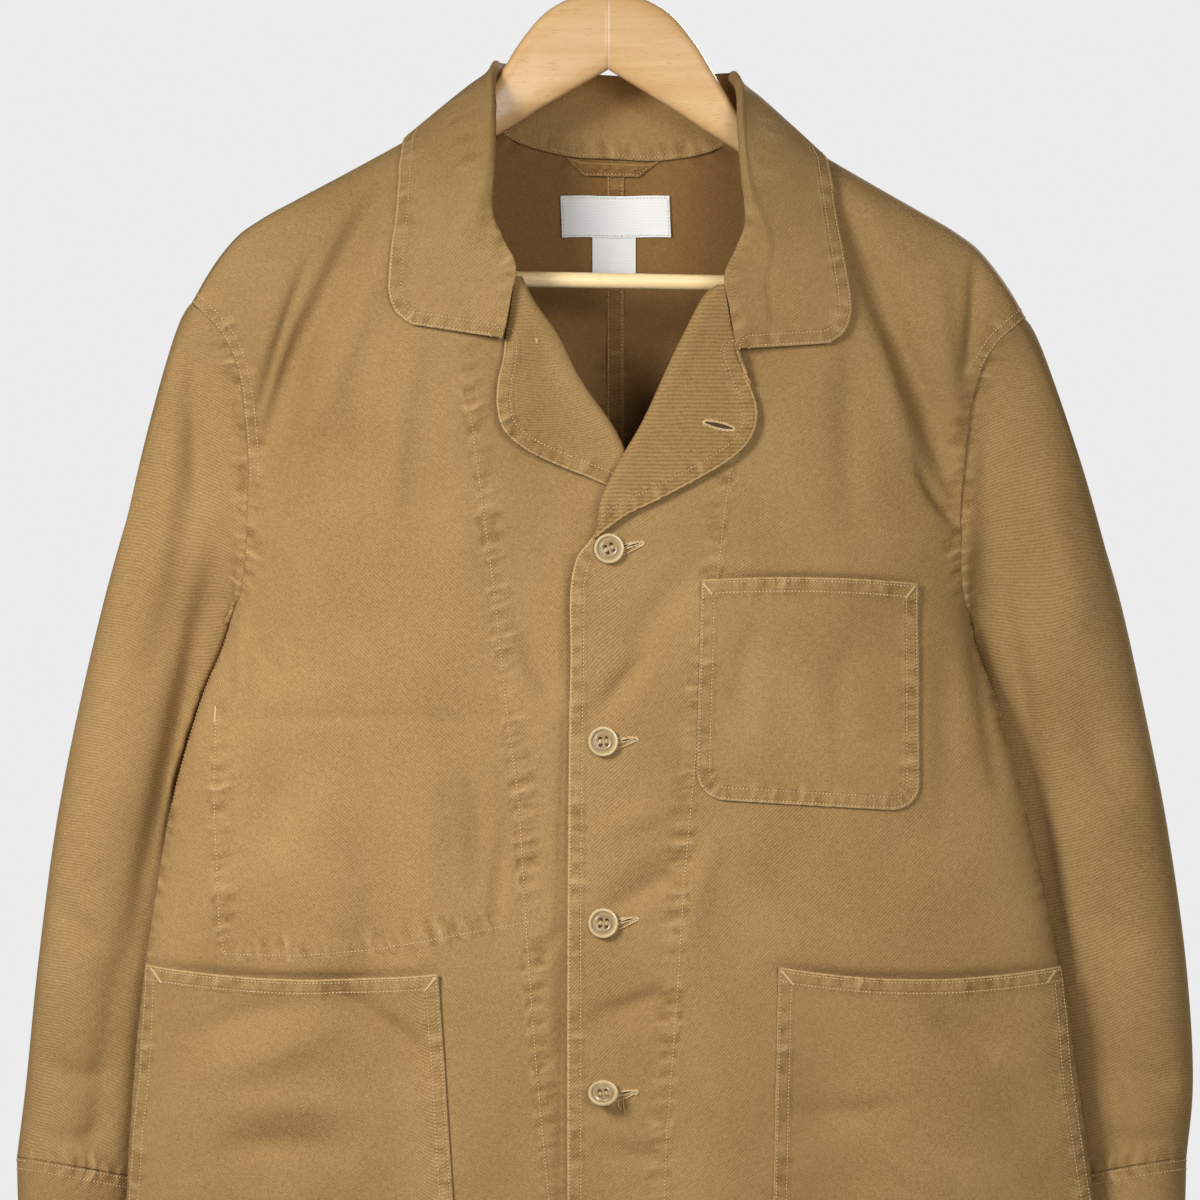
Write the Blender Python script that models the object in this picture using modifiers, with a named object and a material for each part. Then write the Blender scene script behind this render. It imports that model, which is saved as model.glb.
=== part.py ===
"""A cotton twill chore jacket on a wooden coat hanger, hung by its wire hook.

Sizes are in millimetres and become metres when a mesh is made. X runs to the viewer's right, Y away
from the viewer (the jacket faces -Y) and Z up. The origin is where a rail bears inside the hook.
Left and right are the wearer's: the wearer's left is at +X. Its front laps over the right one."""

import math

import bmesh
import bpy
import numpy as np

MM = 0.001
LEFT, RIGHT = 1, -1
FRONT, BACK = -1, 1

# Cloth
CLOTH = 1.2  # wall of one layer of twill
DOUBLE = 2.0  # wall of the collar and the lapels, two layers sewn together
SEAM_GAP = 0.9  # between two panels at a seam, measured on the outside
LEAN = 0.019  # the hanger hangs a degree out of level, its left arm lower
COLLAR_LEAN = 0.045
CENTRE_BACK = 4.0  # the centre-back seam hangs this far to the left

HEM = -880.0
PIT = -445.0
SQUARE = 2.3  # exponent of the body's rounded sections: 2 is an ellipse
SHOULDER_ROUND = 110.0  # how far below the shoulder seam the body reaches its full depth


def table(columns, *rows):
    """A table's columns by name, each an array with a value for every row."""
    return dict(zip(columns.split(), np.array(rows, float).T))


# The body below the shoulders. half is the half width, sway the middle's offset to the left, front and
# back are depths from the side seam's line, and side is that line's own place in depth.
BODY = table(
    "level half sway front back side",
    (-880, 297, 3, 33, 42, -6),
    (-793, 290, 1, 35, 45, -7),
    (-673, 277, -3, 38, 50, -8),
    (-613, 267, -5, 41, 52, -8),
    (-553, 255, -6, 44, 54, -8),
    (-493, 238, -6, 48, 56, -7),
    (-445, 222, -5, 51, 57, -5),
    (-400, 230, -4, 53, 57, -3),
    (-331, 240, -2, 53, 55, 0),
    (-260, 256, 0, 49, 50, 0),
    (-200, 264, 0, 44, 43, 0),
    (-130, 268, 0, 38, 38, 0),
)

# The shoulder line on top of the hanger, from the neck out to the sleeve seam.
SHOULDER = table(
    "out level",
    (0, -100),
    (60, -126),
    (94, -144),
    (125, -162),
    (160, -182),
    (185, -196),
    (209, -210),
    (221, -219),
    (230, -229.5),
    (236, -238),
    (241, -246),
    (245.5, -254),
    (249, -260.5),
)

# The armhole seam, from the pit up to the shoulder's tip.
ARMHOLE = table(
    "climb front back level",
    (0.00, 222, 222, -445),
    (0.09, 217, 220, -432),
    (0.20, 214, 219, -413),
    (0.36, 213, 219, -385),
    (0.52, 214, 222, -355),
    (0.65, 216, 225, -331),
    (0.77, 219, 230, -307),
    (0.87, 225, 236, -288),
    (0.95, 236, 242, -272),
    (1.00, 249, 249, -260),
)

# The front edges, from the hem up the opening and the lapel's roll line to the collar. rise is the share
# of the way from the hem to the shoulder; above GORGE_RISE the edge is the neck seam.
LEFT_EDGE = table(
    "rise across level",
    (0.000, -24.0, -880),
    (0.200, -24.5, -733),
    (0.400, -24.0, -586),
    (0.560, -22.5, -470),
    (0.625, -21.0, -416),
    (0.645, -17.0, -405),
    (0.658, -10.5, -397),
    (0.668, -7.0, -391),
    (0.690, -4.5, -375),
    (0.720, 4.0, -356),
    (0.765, 20.0, -328),
    (0.830, 44.0, -277),
    (0.860, 58.0, -251),
    (0.880, 66.0, -245),
)
RIGHT_EDGE = table(
    "rise across level",
    (0.000, 25.0, -880),
    (0.200, 25.0, -733),
    (0.400, 25.0, -586),
    (0.560, 25.0, -470),
    (0.640, 24.0, -400),
    (0.662, 21.5, -381),
    (0.680, 18.0, -368),
    (0.720, 7.0, -338),
    (0.780, -17.0, -301),
    (0.830, -32.0, -272),
    (0.860, -45.0, -254),
    (0.880, -52.5, -239.5),
)
PIT_RISE = 0.60
GORGE_RISE = 0.88
LAPEL_RISE = 0.672
ROLL_OUT = 4.0  # how far a fold's crest stands out past the edge of the panel that it continues

# How far the lapped right front lies behind the left one, below the top button and at the lapels.
LAP_LOW, LAP_HIGH = 3.2, 10.0

# Large soft folds of the front, from one end to the other. A positive height stands out.
FRONT_FOLDS = table(
    "x0 z0 x1 z1 width height",
    (-142, -205, -205, -352, 13, -4.5),
    (-176, -240, -205, -385, 9, -3.0),
    (-160, -210, -120, -420, 26, 2.5),
    (142, -200, 212, -372, 12, -5.5),
    (176, -330, 212, -400, 9, -3.0),
    (120, -300, 150, -520, 26, 2.5),
    (-150, -380, -140, -600, 30, -2.5),
    (-215, -395, -190, -440, 14, -2.5),
    (-52, -460, -28, -505, 8, -2.5),
    (2, -612, 52, -580, 9, -3.0),
    (-20, -690, 45, -672, 10, -2.5),
    (-90, -640, -70, -860, 26, 3.0),
    (75, -640, 60, -860, 28, 3.0),
    (-200, -680, -215, -870, 34, 4.0),
    (190, -690, 215, -870, 34, 4.0),
    (-130, -700, -120, -880, 30, -4.0),
    (130, -700, 140, -880, 32, -4.0),
)
BACK_FOLDS = table(
    "x0 z0 x1 z1 width height",
    (-120, -210, -195, -400, 18, 4.0),
    (125, -215, 195, -400, 18, 4.0),
    (-90, -230, -120, -520, 30, -3.0),
    (95, -235, 120, -540, 30, -3.0),
    (-60, -480, -50, -880, 36, 5.0),
    (70, -500, 65, -880, 36, 5.0),
    (-160, -560, -170, -880, 36, 5.0),
    (165, -560, 180, -880, 36, 5.0),
    (-112, -560, -112, -880, 30, -4.0),
    (118, -560, 122, -880, 30, -4.0),
)

# The collar, from the middle of the neck round to its notch, on one side. fold is 1 where it stands and
# turns over, and 0 where it only lies on the chest. shift moves it to the left. Its seam and edge lie on
# the body, behind (1) or in front of (-1) the shoulder line as side says, and its roll is free.
COLLAR = table(
    "turn fold shift seam_out seam_level roll_out roll_y roll_level edge_out edge_level side",
    (0.00, 1.0, 4.0, 0, -168, 0, 50, -119, 0, -190, 1),
    (0.20, 1.0, 3.5, 32, -167, 32, 46, -118, 38, -190, 1),
    (0.33, 1.0, 3.5, 60, -161, 53, 36, -115, 74, -186, 1),
    (0.43, 1.0, 4.0, 84, -151, 67, 22, -112, 102, -177, 1),
    (0.50, 1.0, 4.0, 94, -144, 70, 5, -112, 122, -163, 0),
    (0.58, 1.0, 4.5, 94, -156, 73, -14, -121, 128, -177, -1),
    (0.66, 1.0, 5.0, 90, -174, 73, -32, -144, 130, -192, -1),
    (0.75, 0.9, 6.0, 82, -200, 72, -44, -178, 132, -211, -1),
    (0.84, 0.5, 6.5, 71, -223, 68, -51, -210, 135, -231, -1),
    (0.90, 0.0, 7.0, 63, -240, 63, -55, -240, 137, -247, -1),
    (0.94, 0.0, 7.0, 66, -256, 66, -56, -256, 137, -258, -1),
    (0.97, 0.0, 7.0, 68, -268, 68, -57, -268, 133, -268, -1),
    (1.00, 0.0, 7.0, 71, -281, 71, -58, -281, 124, -275, -1),
)
GORGE_TURN = 0.90
# places of the collar's rows of points, closest where it turns over the shoulder
COLLAR_TURNS = (0, 0.1, 0.2, 0.29, 0.36, 0.41, 0.45, 0.48, 0.51, 0.545, 0.59, 0.64, 0.7, 0.76, 0.82, 0.87)
COLLAR_TURNS += (0.91, 0.945, 0.975, 1)
LEAF_LIFT_ROLL, LEAF_LIFT_EDGE = 5.8, 4.2  # of the face of a turned-back leaf over the panel below it
COLLAR_ROLL = 4.5  # radius of the collar's fold

# The lapels' outer edges, from the gorge down to where they run into the front edge. rise places each
# row on the roll line, and stand is how far the edge stands off the chest.
LEFT_LAPEL = table(
    "rise edge_x edge_z stand",
    (0.879, 76.3, -286.5, 4.2),
    (0.860, 82, -300, 4.6),
    (0.840, 87.5, -315, 5.2),
    (0.815, 88, -328, 5.6),
    (0.790, 82, -341, 5.6),
    (0.765, 69, -352, 5.2),
    (0.740, 50, -363, 4.8),
    (0.715, 29, -374, 4.6),
    (0.695, 12, -382, 4.6),
    (0.674, -1, -391, 5.0),
)
RIGHT_LAPEL = table(
    "rise edge_x edge_z stand",
    (0.879, -61.8, -279, 4.2),
    (0.862, -63, -290, 7.0),
    (0.845, -65.5, -303, 10.5),
    (0.825, -66, -318, 11.0),
    (0.800, -62, -332, 10.5),
    (0.775, -50, -343, 9.0),
    (0.750, -32, -352, 7.0),
    (0.725, -12, -360, 5.5),
    (0.700, 4, -367, 4.6),
    (0.684, 14, -372, 4.6),
)

# The sleeves: their outer and inner lines, and how deep they are to each side of the plane between.
# outer_sway and SLEEVE_SWAY shift the two lines to the left.
SLEEVE = table(
    "down outer_x outer_sway outer_y outer_z inner_x inner_y inner_z deep",
    (0.00, 249, 0.0, -12, -260, 227, -5, -445, 30),
    (0.07, 262, 0.5, -11, -293, 229, 8, -456, 33),
    (0.15, 273, 1.5, -9, -328, 226, 25, -473, 36),
    (0.25, 287, 3.0, -7, -372, 223, 43, -497, 39),
    (0.37, 301, 3.5, -5, -425, 225, 56, -528, 40),
    (0.50, 317, 3.0, -2, -499, 232, 62, -570, 38),
    (0.63, 330, 3.0, 0, -570, 243, 64, -620, 36),
    (0.77, 342, 3.0, 3, -655, 254, 62, -688, 34),
    (0.90, 348, 1.0, 5, -725, 263, 58, -748, 32),
    (1.00, 349, -4.0, 6, -768, 268, 55, -787, 31),
)
SLEEVE_SWAY = -4.0
CUFF_LENGTH = 64.0
CUFF = table(
    "down outer_x outer_y inner_x inner_y deep",
    (0.0, 349, 6, 268, 55, 31),
    (0.5, 348, 6, 268, 55, 30.5),
    (1.0, 345, 6, 267, 54, 30),
)
HEAD = 0.36  # share of the sleeve over which the armhole's shape turns into the sleeve's
HEAD_REACH = (30.0, 26.0)  # how far it leads straight on from the armhole, at the top and at the pit
SLEEVE_CLEAR = 7.5  # between the sleeve and the body's side

# Patch pockets: corners in the front view, mouth sag and radius of the lower corners.
POCKETS = {
    "chest_pocket": dict(
        top=((55, -421), (184, -423)),
        bottom=((52, -551), (185, -559)),
        sag=-2.5,
        corner=17,
        gape=1.2,
    ),
    "pocket_right": dict(
        top=((-275, -651), (-101, -655)),
        bottom=((-290, -851), (-89, -853)),
        sag=5.5,
        corner=24,
        gape=3.0,
    ),
    "pocket_left": dict(
        top=((101, -651), (269, -652)),
        bottom=((97, -853), (294, -851)),
        sag=7.0,
        corner=24,
        gape=3.4,
    ),
}
POCKET_LIFT = 1.8 + CLOTH

# Buttons. tilt is how far a button's face looks up.
BUTTON_DIAMETER = 18.0
BUTTON_THICK = 3.2
BUTTONS = table(
    "x z lift tilt",
    (0.5, -402.5, 0.8, 0),
    (-3, -517, 0.8, 0),
    (-3, -625, 0.8, 0),
    (-3, -727, 4.2, 24),
)
NECK_BUTTON = dict(x=-51, z=-310, lift=6.0)  # behind the right lapel, its face to the chest

# Hanger
HANGER_HALF = 228.0
HANGER_BACK = 6.0  # how far behind the hook's plane the middle of the wood stands
HANGER_SWEEP = 24.0  # how far forward of that the arms' ends come
ARM = table(
    "out top bottom deep",
    (0.3, -68, -112, 7.5),
    (14, -69, -121, 7.5),
    (29, -75, -131, 7.5),
    (41, -84, -139, 7.5),
    (53, -99, -147, 8),
    (61, -112, -152, 8.5),
    (69, -125, -157, 9),
    (77, -138, -162, 9),
    (85, -151, -168, 9),
    (98, -159, -177, 10.5),
    (135, -175, -202, 13),
    (170, -196, -227, 14),
    (198, -214, -250, 14),
    (212, -225, -255, 12),
    (219, -233, -252, 9),
    (223, -239, -247, 5),
)
BAR_DIAMETER = 9.4
BAR_LEVEL = -242.0
BAR_HALF = 208.0
SOCKET_DEEP = 50.0
HOOK_WIRE = 3.6
HOOK_INNER = 19.0
HOOK_STEM = -67.7

# Labels and the hanging loop, inside the back of the neck
LABEL = dict(x=(-29, 37), z=(-191, -215.5))
CARE_LABEL = dict(x=(-10, 16.5), z=(-216.5, -237))
LABEL_THICK = 1.0
LOOP_SPAN = 58.0
LOOP_DROP = 11.0
LOOP_TAPE = 5.0


def follow(at, knots, values):
    """A smooth curve through the values at the knots, read at any places."""
    order = np.argsort(knots)
    knots, values = knots[order], values[order]
    slope = np.gradient(values, knots)
    at = np.clip(at, knots[0], knots[-1])
    i = np.clip(np.searchsorted(knots, at, side="right") - 1, 0, len(knots) - 2)
    step = knots[i + 1] - knots[i]
    t = (at - knots[i]) / step
    first = values[i] * (1 + 2 * t) * (1 - t) ** 2 + slope[i] * step * t * (1 - t) ** 2
    return first + values[i + 1] * t * t * (3 - 2 * t) + slope[i + 1] * step * t * t * (t - 1)


def ease(t):
    t = np.clip(t, 0, 1)
    return t * t * (3 - 2 * t)


def mix(a, b, t):
    return a + (b - a) * t


def stack(x, y, z):
    return np.stack(np.broadcast_arrays(x, y, z), -1).astype(float)


def unit(v):
    return v / np.maximum(np.linalg.norm(v, axis=-1, keepdims=True), 1e-9)


# ---- the body's outer face ----


def shoulder(x):
    """Level of the shoulder line over the hanger."""
    return follow(np.abs(x), SHOULDER["out"], SHOULDER["level"]) - LEAN * x


def hanger_line(x):
    """Depth of the hanger's middle: its arms sweep forward."""
    return HANGER_BACK - HANGER_SWEEP * (np.abs(x) / HANGER_HALF) ** 1.8


def folds(x, z, rows):
    """How far the soft folds stand out at points of the front view."""
    out = np.zeros(np.broadcast(x, z).shape)
    for x0, z0, x1, z1, width, height in zip(*rows.values()):
        run, fall = x1 - x0, z1 - z0
        t = np.clip(((x - x0) * run + (z - z0) * fall) / (run**2 + fall**2), 0, 1)
        away = (x - x0 - t * run) ** 2 + (z - z0 - t * fall) ** 2
        out += height * np.exp(-away / width**2) * np.sin(math.pi * mix(0.12, 0.95, t)) ** 0.8
    return out


def body(column, z):
    return follow(z, BODY["level"], BODY[column])


def torso_parts(x, z, side):
    """Middle line, full depth and the two roundings of the body at points of the front view."""
    out = np.clip(np.abs(x - body("sway", z)) / body("half", z), 0, 1)
    drop = np.clip((shoulder(x) - z) / SHOULDER_ROUND, 0, 1)
    middle = mix(hanger_line(x), body("side", z), ease(drop))
    deep = body("front" if side == FRONT else "back", z)
    return middle, deep, 1 - out**SQUARE, 1 - (1 - drop) ** SQUARE


def torso_y(x, z, side):
    """Depth of the jacket's outer face at points of the front view."""
    middle, deep, across, down = torso_parts(x, z, side)
    room = np.clip(across * down, 0, 1)
    bulge = folds(x, z, FRONT_FOLDS if side == FRONT else BACK_FOLDS) * np.minimum(room * 3, 1)
    return middle + side * (deep * room ** (1 / SQUARE) + SEAM_GAP / 2 + bulge)


def torso(x, z, side):
    return stack(x, torso_y(x, z, side), z)


def torso_level(p, side):
    """Over 0 outside the jacket's face and under 0 inside it."""
    x, y, z = p[..., 0], p[..., 1], p[..., 2]
    out = np.abs(x - body("sway", z)) / body("half", z)
    drop = np.minimum((shoulder(x) - z) / SHOULDER_ROUND, 1)
    middle = mix(hanger_line(x), body("side", z), ease(drop))
    deep = body("front" if side == FRONT else "back", z)
    return (np.abs(y - middle) / deep) ** SQUARE - (1 - out**SQUARE) * (1 - np.abs(1 - drop) ** SQUARE)


def torso_normal(p, side):
    """Outward direction of the jacket's face at points on it."""
    step = 0.4
    slope = [
        torso_level(p + step * axis, side) - torso_level(p - step * axis, side) for axis in np.eye(3)
    ]
    return unit(np.stack(slope, -1))


def lift(p, side, height):
    """Points of the body's face, moved outwards."""
    return p + torso_normal(p, side) * np.asarray(height, float)[..., None]


# ---- the body's panels ----


def neck_seam(turn, hand):
    """The seam of the collar in the front view. turn runs from the middle of the neck to the gorge."""
    out = follow(turn, COLLAR["turn"], COLLAR["seam_out"])
    x = follow(turn, COLLAR["turn"], COLLAR["shift"]) + hand * out
    return x, follow(turn, COLLAR["turn"], COLLAR["seam_level"]) - COLLAR_LEAN * hand * out


def side_edge(rise, hand, side):
    """Outer edge of a panel: the side seam, then the armhole."""
    low = mix(HEM, PIT, np.minimum(rise / PIT_RISE, 1))
    climb = np.clip((rise - PIT_RISE) / (1 - PIT_RISE), 0, 1)
    column = "front" if side == FRONT else "back"
    out = np.where(rise < PIT_RISE, body("half", low), follow(climb, ARMHOLE["climb"], ARMHOLE[column]))
    level = np.where(rise < PIT_RISE, low, follow(climb, ARMHOLE["climb"], ARMHOLE["level"]))
    x = hand * out + body("sway", level) * (1 - climb)
    return x, np.where(climb >= 1, shoulder(x), level - LEAN * x * climb)


def opening_edge(rise, hand, turned_back=True):
    """Inner edge of a front: the opening, the lapel's roll line and the neck seam."""
    edge = LEFT_EDGE if hand == LEFT else RIGHT_EDGE
    x = follow(rise, edge["rise"], edge["across"])
    z = follow(rise, edge["rise"], edge["level"])
    if turned_back:
        x = x + hand * ROLL_OUT * ease((rise - LAPEL_RISE + 0.012) / 0.012)
    high = np.clip((rise - GORGE_RISE) / (1 - GORGE_RISE), 0, 1)
    neck_x, neck_z = neck_seam(mix(GORGE_TURN, 0.5, high), hand)
    at_neck = rise > GORGE_RISE
    return np.where(at_neck, neck_x, x), np.where(at_neck, neck_z, z)


def patch(u, v, outer, inner, bottom, top):
    """A four-sided sheet in the front view, between its edges. u runs inwards and v up."""
    ox, oz = outer
    ix, iz = inner
    bx, bz = bottom
    tx, tz = top
    u, v = u[None, :], v[:, None]

    def blend(o, i, b, t):
        corners = (1 - u) * (1 - v) * o[0] + u * (1 - v) * i[0] + (1 - u) * v * o[-1] + u * v * i[-1]
        return (1 - u) * o[:, None] + u * i[:, None] + (1 - v) * b[None] + v * t[None] - corners

    return blend(ox, ix, bx, tx), blend(oz, iz, bz, tz)


def rows_up(low, middle, high):
    """Shares of the way up a panel, closer at the opening's top and under the shoulder line. The narrow
    first and last rows keep the wall square to its edges."""
    return np.concatenate(
        [
            [0, 0.002],
            np.linspace(0, PIT_RISE, low, endpoint=False)[1:],
            middle,
            np.linspace(0.70, GORGE_RISE, high, endpoint=False),
            [GORGE_RISE, 0.91, 0.94, 0.965, 0.984, 0.9955, 0.9986, 1],
        ]
    )


def columns_in(count):
    """Shares of the way in from a side seam, closer together where the cloth turns round the side."""
    t = np.linspace(0, 1, count)
    bent = mix(t, 1 - np.cos(math.pi * t / 2), 0.7)
    return np.concatenate([[0, 0.0008, 0.007], bent[1:-1], [0.992, 1]])


def lap(x, z):
    """How far the lapped right front lies behind the jacket's face."""
    high = mix(LAP_LOW, LAP_HIGH, ease((z + 500) / 100) * ease((-225 - z) / 70))
    return high * ease((x + 95) / 65)


def front_panel(hand, rise, u):
    outer = side_edge(rise, hand, FRONT)
    inner = opening_edge(rise, hand)
    top_x = mix(outer[0][-1], inner[0][-1], u)
    bottom = mix(outer[0][0], inner[0][0], u), np.full_like(u, HEM)
    x, z = patch(u, rise, outer, inner, bottom, (top_x, shoulder(top_x)))
    points = torso(x, z, FRONT)
    if hand == RIGHT:
        points[..., 1] += lap(x, z)
    return points


def back_panel(hand, rise, u):
    outer = side_edge(rise, hand, BACK)
    neck_x, neck_z = neck_seam(np.linspace(0.5, 0, 12), hand)
    split = u[np.searchsorted(u, 0.5)]
    share = (outer[0][-1] - neck_x[0]) / (outer[0][-1] - CENTRE_BACK)
    past = np.clip((u - split) / (1 - split), 0, 1) ** 1.5
    along = np.where(u < split, u / split * share, mix(share, 1, past))
    top_x = mix(outer[0][-1], CENTRE_BACK, along)
    order = np.argsort(hand * neck_x)
    neck_level = np.interp(hand * top_x, hand * neck_x[order], neck_z[order])
    top_z = np.where(u < split, shoulder(top_x), neck_level)
    bottom = mix(outer[0][0], CENTRE_BACK, along), np.full_like(u, HEM)
    inner = np.full_like(rise, CENTRE_BACK), mix(HEM, top_z[-1], rise)
    x, z = patch(along, rise, outer, inner, bottom, (top_x, top_z))
    points = torso(x, z, BACK)
    points[..., 0] += hand * 0.25 * along**6
    return points


# ---- sleeves ----


def ring(outer, inner, deep, turned, angle, hand):
    """Ellipses through a sleeve's outer and inner lines. The angle runs from the outer line forwards, and
    turned says how far their depth is square to the plane between the lines."""
    reach = (outer - inner) / 2
    square = unit(np.stack([-reach[..., 1], reach[..., 0], np.zeros_like(deep)], -1) * -hand)
    forward = unit(mix(np.array([0, -1, 0]), square, turned[..., None])) * deep[..., None]
    cos, sin = np.cos(angle), np.sin(angle)
    centre = (outer + inner) / 2
    return (
        centre[..., None, :]
        + cos[:, None] * reach[..., None, :]
        + sin[:, None] * forward[..., None, :]
    )


def armhole_points(angle, hand):
    """The armhole seam and the body's outward direction there, round the sleeve's angle."""
    turn = np.mod(angle, 2 * math.pi)
    rise = mix(PIT_RISE, 1, 1 - np.minimum(turn, 2 * math.pi - turn) / math.pi)
    front, back = (torso(*side_edge(rise, hand, side), side) for side in (FRONT, BACK))
    share = ease(0.5 - np.sin(turn) * 8)[:, None]
    normal = mix(torso_normal(front, FRONT), torso_normal(back, BACK), share)
    return mix(front, back, share), unit(normal)


def armhole(angle, hand):
    """The armhole seam, and the direction in which the sleeve leaves it."""
    step = 0.03
    points, normal = armhole_points(angle, hand)
    ahead, behind = armhole_points(angle + step, hand)[0], armhole_points(angle - step, hand)[0]
    away = unit(np.cross(unit(ahead - behind), normal)) * -hand
    at_pit = ease(-np.cos(angle))[:, None]
    return points, unit(mix(away, np.array([hand, 0, -0.15]), at_pit))


def sleeve_lines(down, hand):
    at = {name: follow(down, SLEEVE["down"], SLEEVE[name]) for name in SLEEVE if name != "down"}
    outer = stack(hand * at["outer_x"] + at["outer_sway"], at["outer_y"], at["outer_z"])
    inner = stack(hand * at["inner_x"] + SLEEVE_SWAY, at["inner_y"], at["inner_z"])
    outer[..., 2] -= LEAN * outer[..., 0] * (1 - down)
    return outer, inner, at["deep"], ease(down / 0.7)


def sleeve_points(down, angle, hand):
    """The sleeve's outer face: it leaves the armhole in line with the body, then hangs."""
    rings = ring(*sleeve_lines(down, hand), angle, hand)
    seam, away = armhole(angle, hand)
    head = (down / HEAD)[:, None, None]
    reach = mix(HEAD_REACH[0], HEAD_REACH[1], ease(0.5 - 0.5 * np.cos(angle)))[:, None]
    leading = seam + away * (SEAM_GAP + reach * head)
    return clear_of_body(mix(leading, rings, ease(head)), down)


def clear_of_body(points, down):
    """Moves sleeve points that come too near to the body's side out from it."""
    points = points.copy()
    near = ease((PIT + 12 - points[..., 2]) / 24) * ease(down / 0.05)[:, None]
    for _ in range(4):
        behind = points[..., 1] > torso_parts(points[..., 0], points[..., 2], BACK)[0]
        for side, mask in ((BACK, behind), (FRONT, ~behind)):
            step = 0.4
            level = torso_level(points, side)
            slope = [
                (torso_level(points + step * axis, side) - torso_level(points - step * axis, side))
                / (2 * step)
                for axis in np.eye(3)
            ]
            steep = np.maximum(np.linalg.norm(np.stack(slope, -1), axis=-1), 1e-4)
            push = np.clip(SLEEVE_CLEAR - level / steep, 0, 4) * near * mask
            points += torso_normal(points, side) * push[..., None]
    return points


def cuff_points(down, angle, hand):
    at = {name: follow(down, CUFF["down"], CUFF[name]) for name in CUFF if name != "down"}
    top_outer, top_inner, *_ = sleeve_lines(np.ones(1), hand)
    fall = down * CUFF_LENGTH + SEAM_GAP
    outer = stack(hand * at["outer_x"] + SLEEVE_SWAY, at["outer_y"], top_outer[0, 2] - fall)
    inner = stack(hand * at["inner_x"] + SLEEVE_SWAY, at["inner_y"], top_inner[0, 2] - fall)
    square = np.ones_like(down)
    return clear_of_body(ring(outer, inner, at["deep"], square, angle, hand), square)


# ---- collar and lapels ----


def on_body(x, z, behind, height):
    """Points of the body's face, behind or in front of the shoulder line, moved outwards."""
    z = np.minimum(z, shoulder(x) - 0.05)
    back, front = torso(x, z, BACK), torso(x, z, FRONT)
    p = mix(front, back, behind[..., None])
    n = unit(mix(torso_normal(front, FRONT), torso_normal(back, BACK), behind[..., None]))
    return p + n * np.asarray(height, float)[..., None]


def collar_points(turn, across=10):
    """The collar's showing face, from its neck seam over the roll to its outer edge."""
    hand = np.where(turn < 0, -1.0, 1.0)
    at = {name: follow(np.abs(turn), COLLAR["turn"], COLLAR[name]) for name in COLLAR if name != "turn"}
    behind = ease((at["side"] + 0.06) / 0.12)

    def place(out, level):
        return at["shift"] + hand * out, level - COLLAR_LEAN * hand * out

    seam_x, seam_z = place(at["seam_out"], at["seam_level"])
    edge_x, edge_z = place(at["edge_out"], at["edge_level"])
    roll_x, roll_z = place(at["roll_out"], at["roll_level"])
    share = np.linspace(0, 1, across)
    # where it lies on the chest
    x = mix(seam_x[:, None], edge_x[:, None], share) + 0.8 * hand[:, None] * (1 - share)
    z = mix(seam_z[:, None], edge_z[:, None], share)
    height = mix(LEAF_LIFT_ROLL, LEAF_LIFT_EDGE, share)[None] + np.zeros_like(x)
    leaf = on_body(x, z, np.zeros_like(x), height)
    # where it stands and turns over
    inwards = mix(1.0, 3.2, ease(np.abs(turn) / 0.45)) * ease(np.abs(turn) / 0.4)
    sunk = -0.3 - 0.9 * (1 - at["side"] ** 2)
    seam = on_body(seam_x - hand * inwards, seam_z, behind, sunk)
    seam[:, 2] += mix(1.0, 2.6, ease(np.abs(turn) / 0.3))
    over_shoulder = 2.0 * np.exp(-(((np.abs(turn) - 0.48) / 0.07) ** 2))
    edge = on_body(edge_x, edge_z, behind, LEAF_LIFT_EDGE + over_shoulder)
    roll = stack(roll_x, at["roll_y"], roll_z)
    out = unit((roll - np.array([CENTRE_BACK, 0, 0])) * np.array([1, 1, 0]))
    down = np.array([0, 0, COLLAR_ROLL])
    inner_top = roll - out * COLLAR_ROLL * 0.3 - down
    outer_top = roll + out * COLLAR_ROLL * 1.1 - down
    fall = edge - outer_top
    swell = unit(out + np.array([0, 0, 0.6])) * (0.005 * np.linalg.norm(fall, axis=-1, keepdims=True))
    standing = [
        seam,
        mix(seam, inner_top, 0.4),
        mix(seam, inner_top, 0.75),
        inner_top,
        roll + out * COLLAR_ROLL * 0.5,
        outer_top,
        outer_top + fall * 0.25 + swell * 0.75,
        outer_top + fall * 0.5 + swell,
        outer_top + fall * 0.75 + swell * 0.7,
        edge,
    ]
    full = np.stack(standing, 1)
    fold = at["fold"][:, None, None]
    return leaf * (1 - fold) + full * fold


def lapel_points(down, hand, across=6):
    """The lapel's showing face: from beside the panel's edge over the roll and out to its edge."""
    rows = LEFT_LAPEL if hand == LEFT else RIGHT_LAPEL
    place = np.linspace(0, 1, len(rows["rise"]))
    at = {name: follow(down, place, rows[name]) for name in rows}
    roll_x, roll_z = opening_edge(at["rise"], hand, turned_back=False)
    panel_x = roll_x + hand * ROLL_OUT

    def face(x, z):
        y = torso_y(x, z, FRONT)
        return y + lap(x, z) if hand == RIGHT else y

    # the fold in section: how far it reaches towards the opening, and how far out of the panel's face
    columns = []
    for reach, height in ((1.4, -CLOTH), (2.9, -0.9), (4.2, 0.6), (4.5, 2.6), (3.5, 4.6), (1.2, 5.7)):
        x = panel_x - hand * reach
        columns.append(stack(x, face(panel_x, roll_z) - height, roll_z))
    for share in np.linspace(0, 1, across)[1:]:
        x = mix(panel_x - hand * 1.0, at["edge_x"], share)
        z = mix(roll_z, at["edge_z"], share)
        height = mix(LEAF_LIFT_ROLL, at["stand"], ease(share * 1.4))
        columns.append(stack(x, face(x, z) - height, z))
    return np.stack(columns, 1)


# ---- making objects ----


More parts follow.
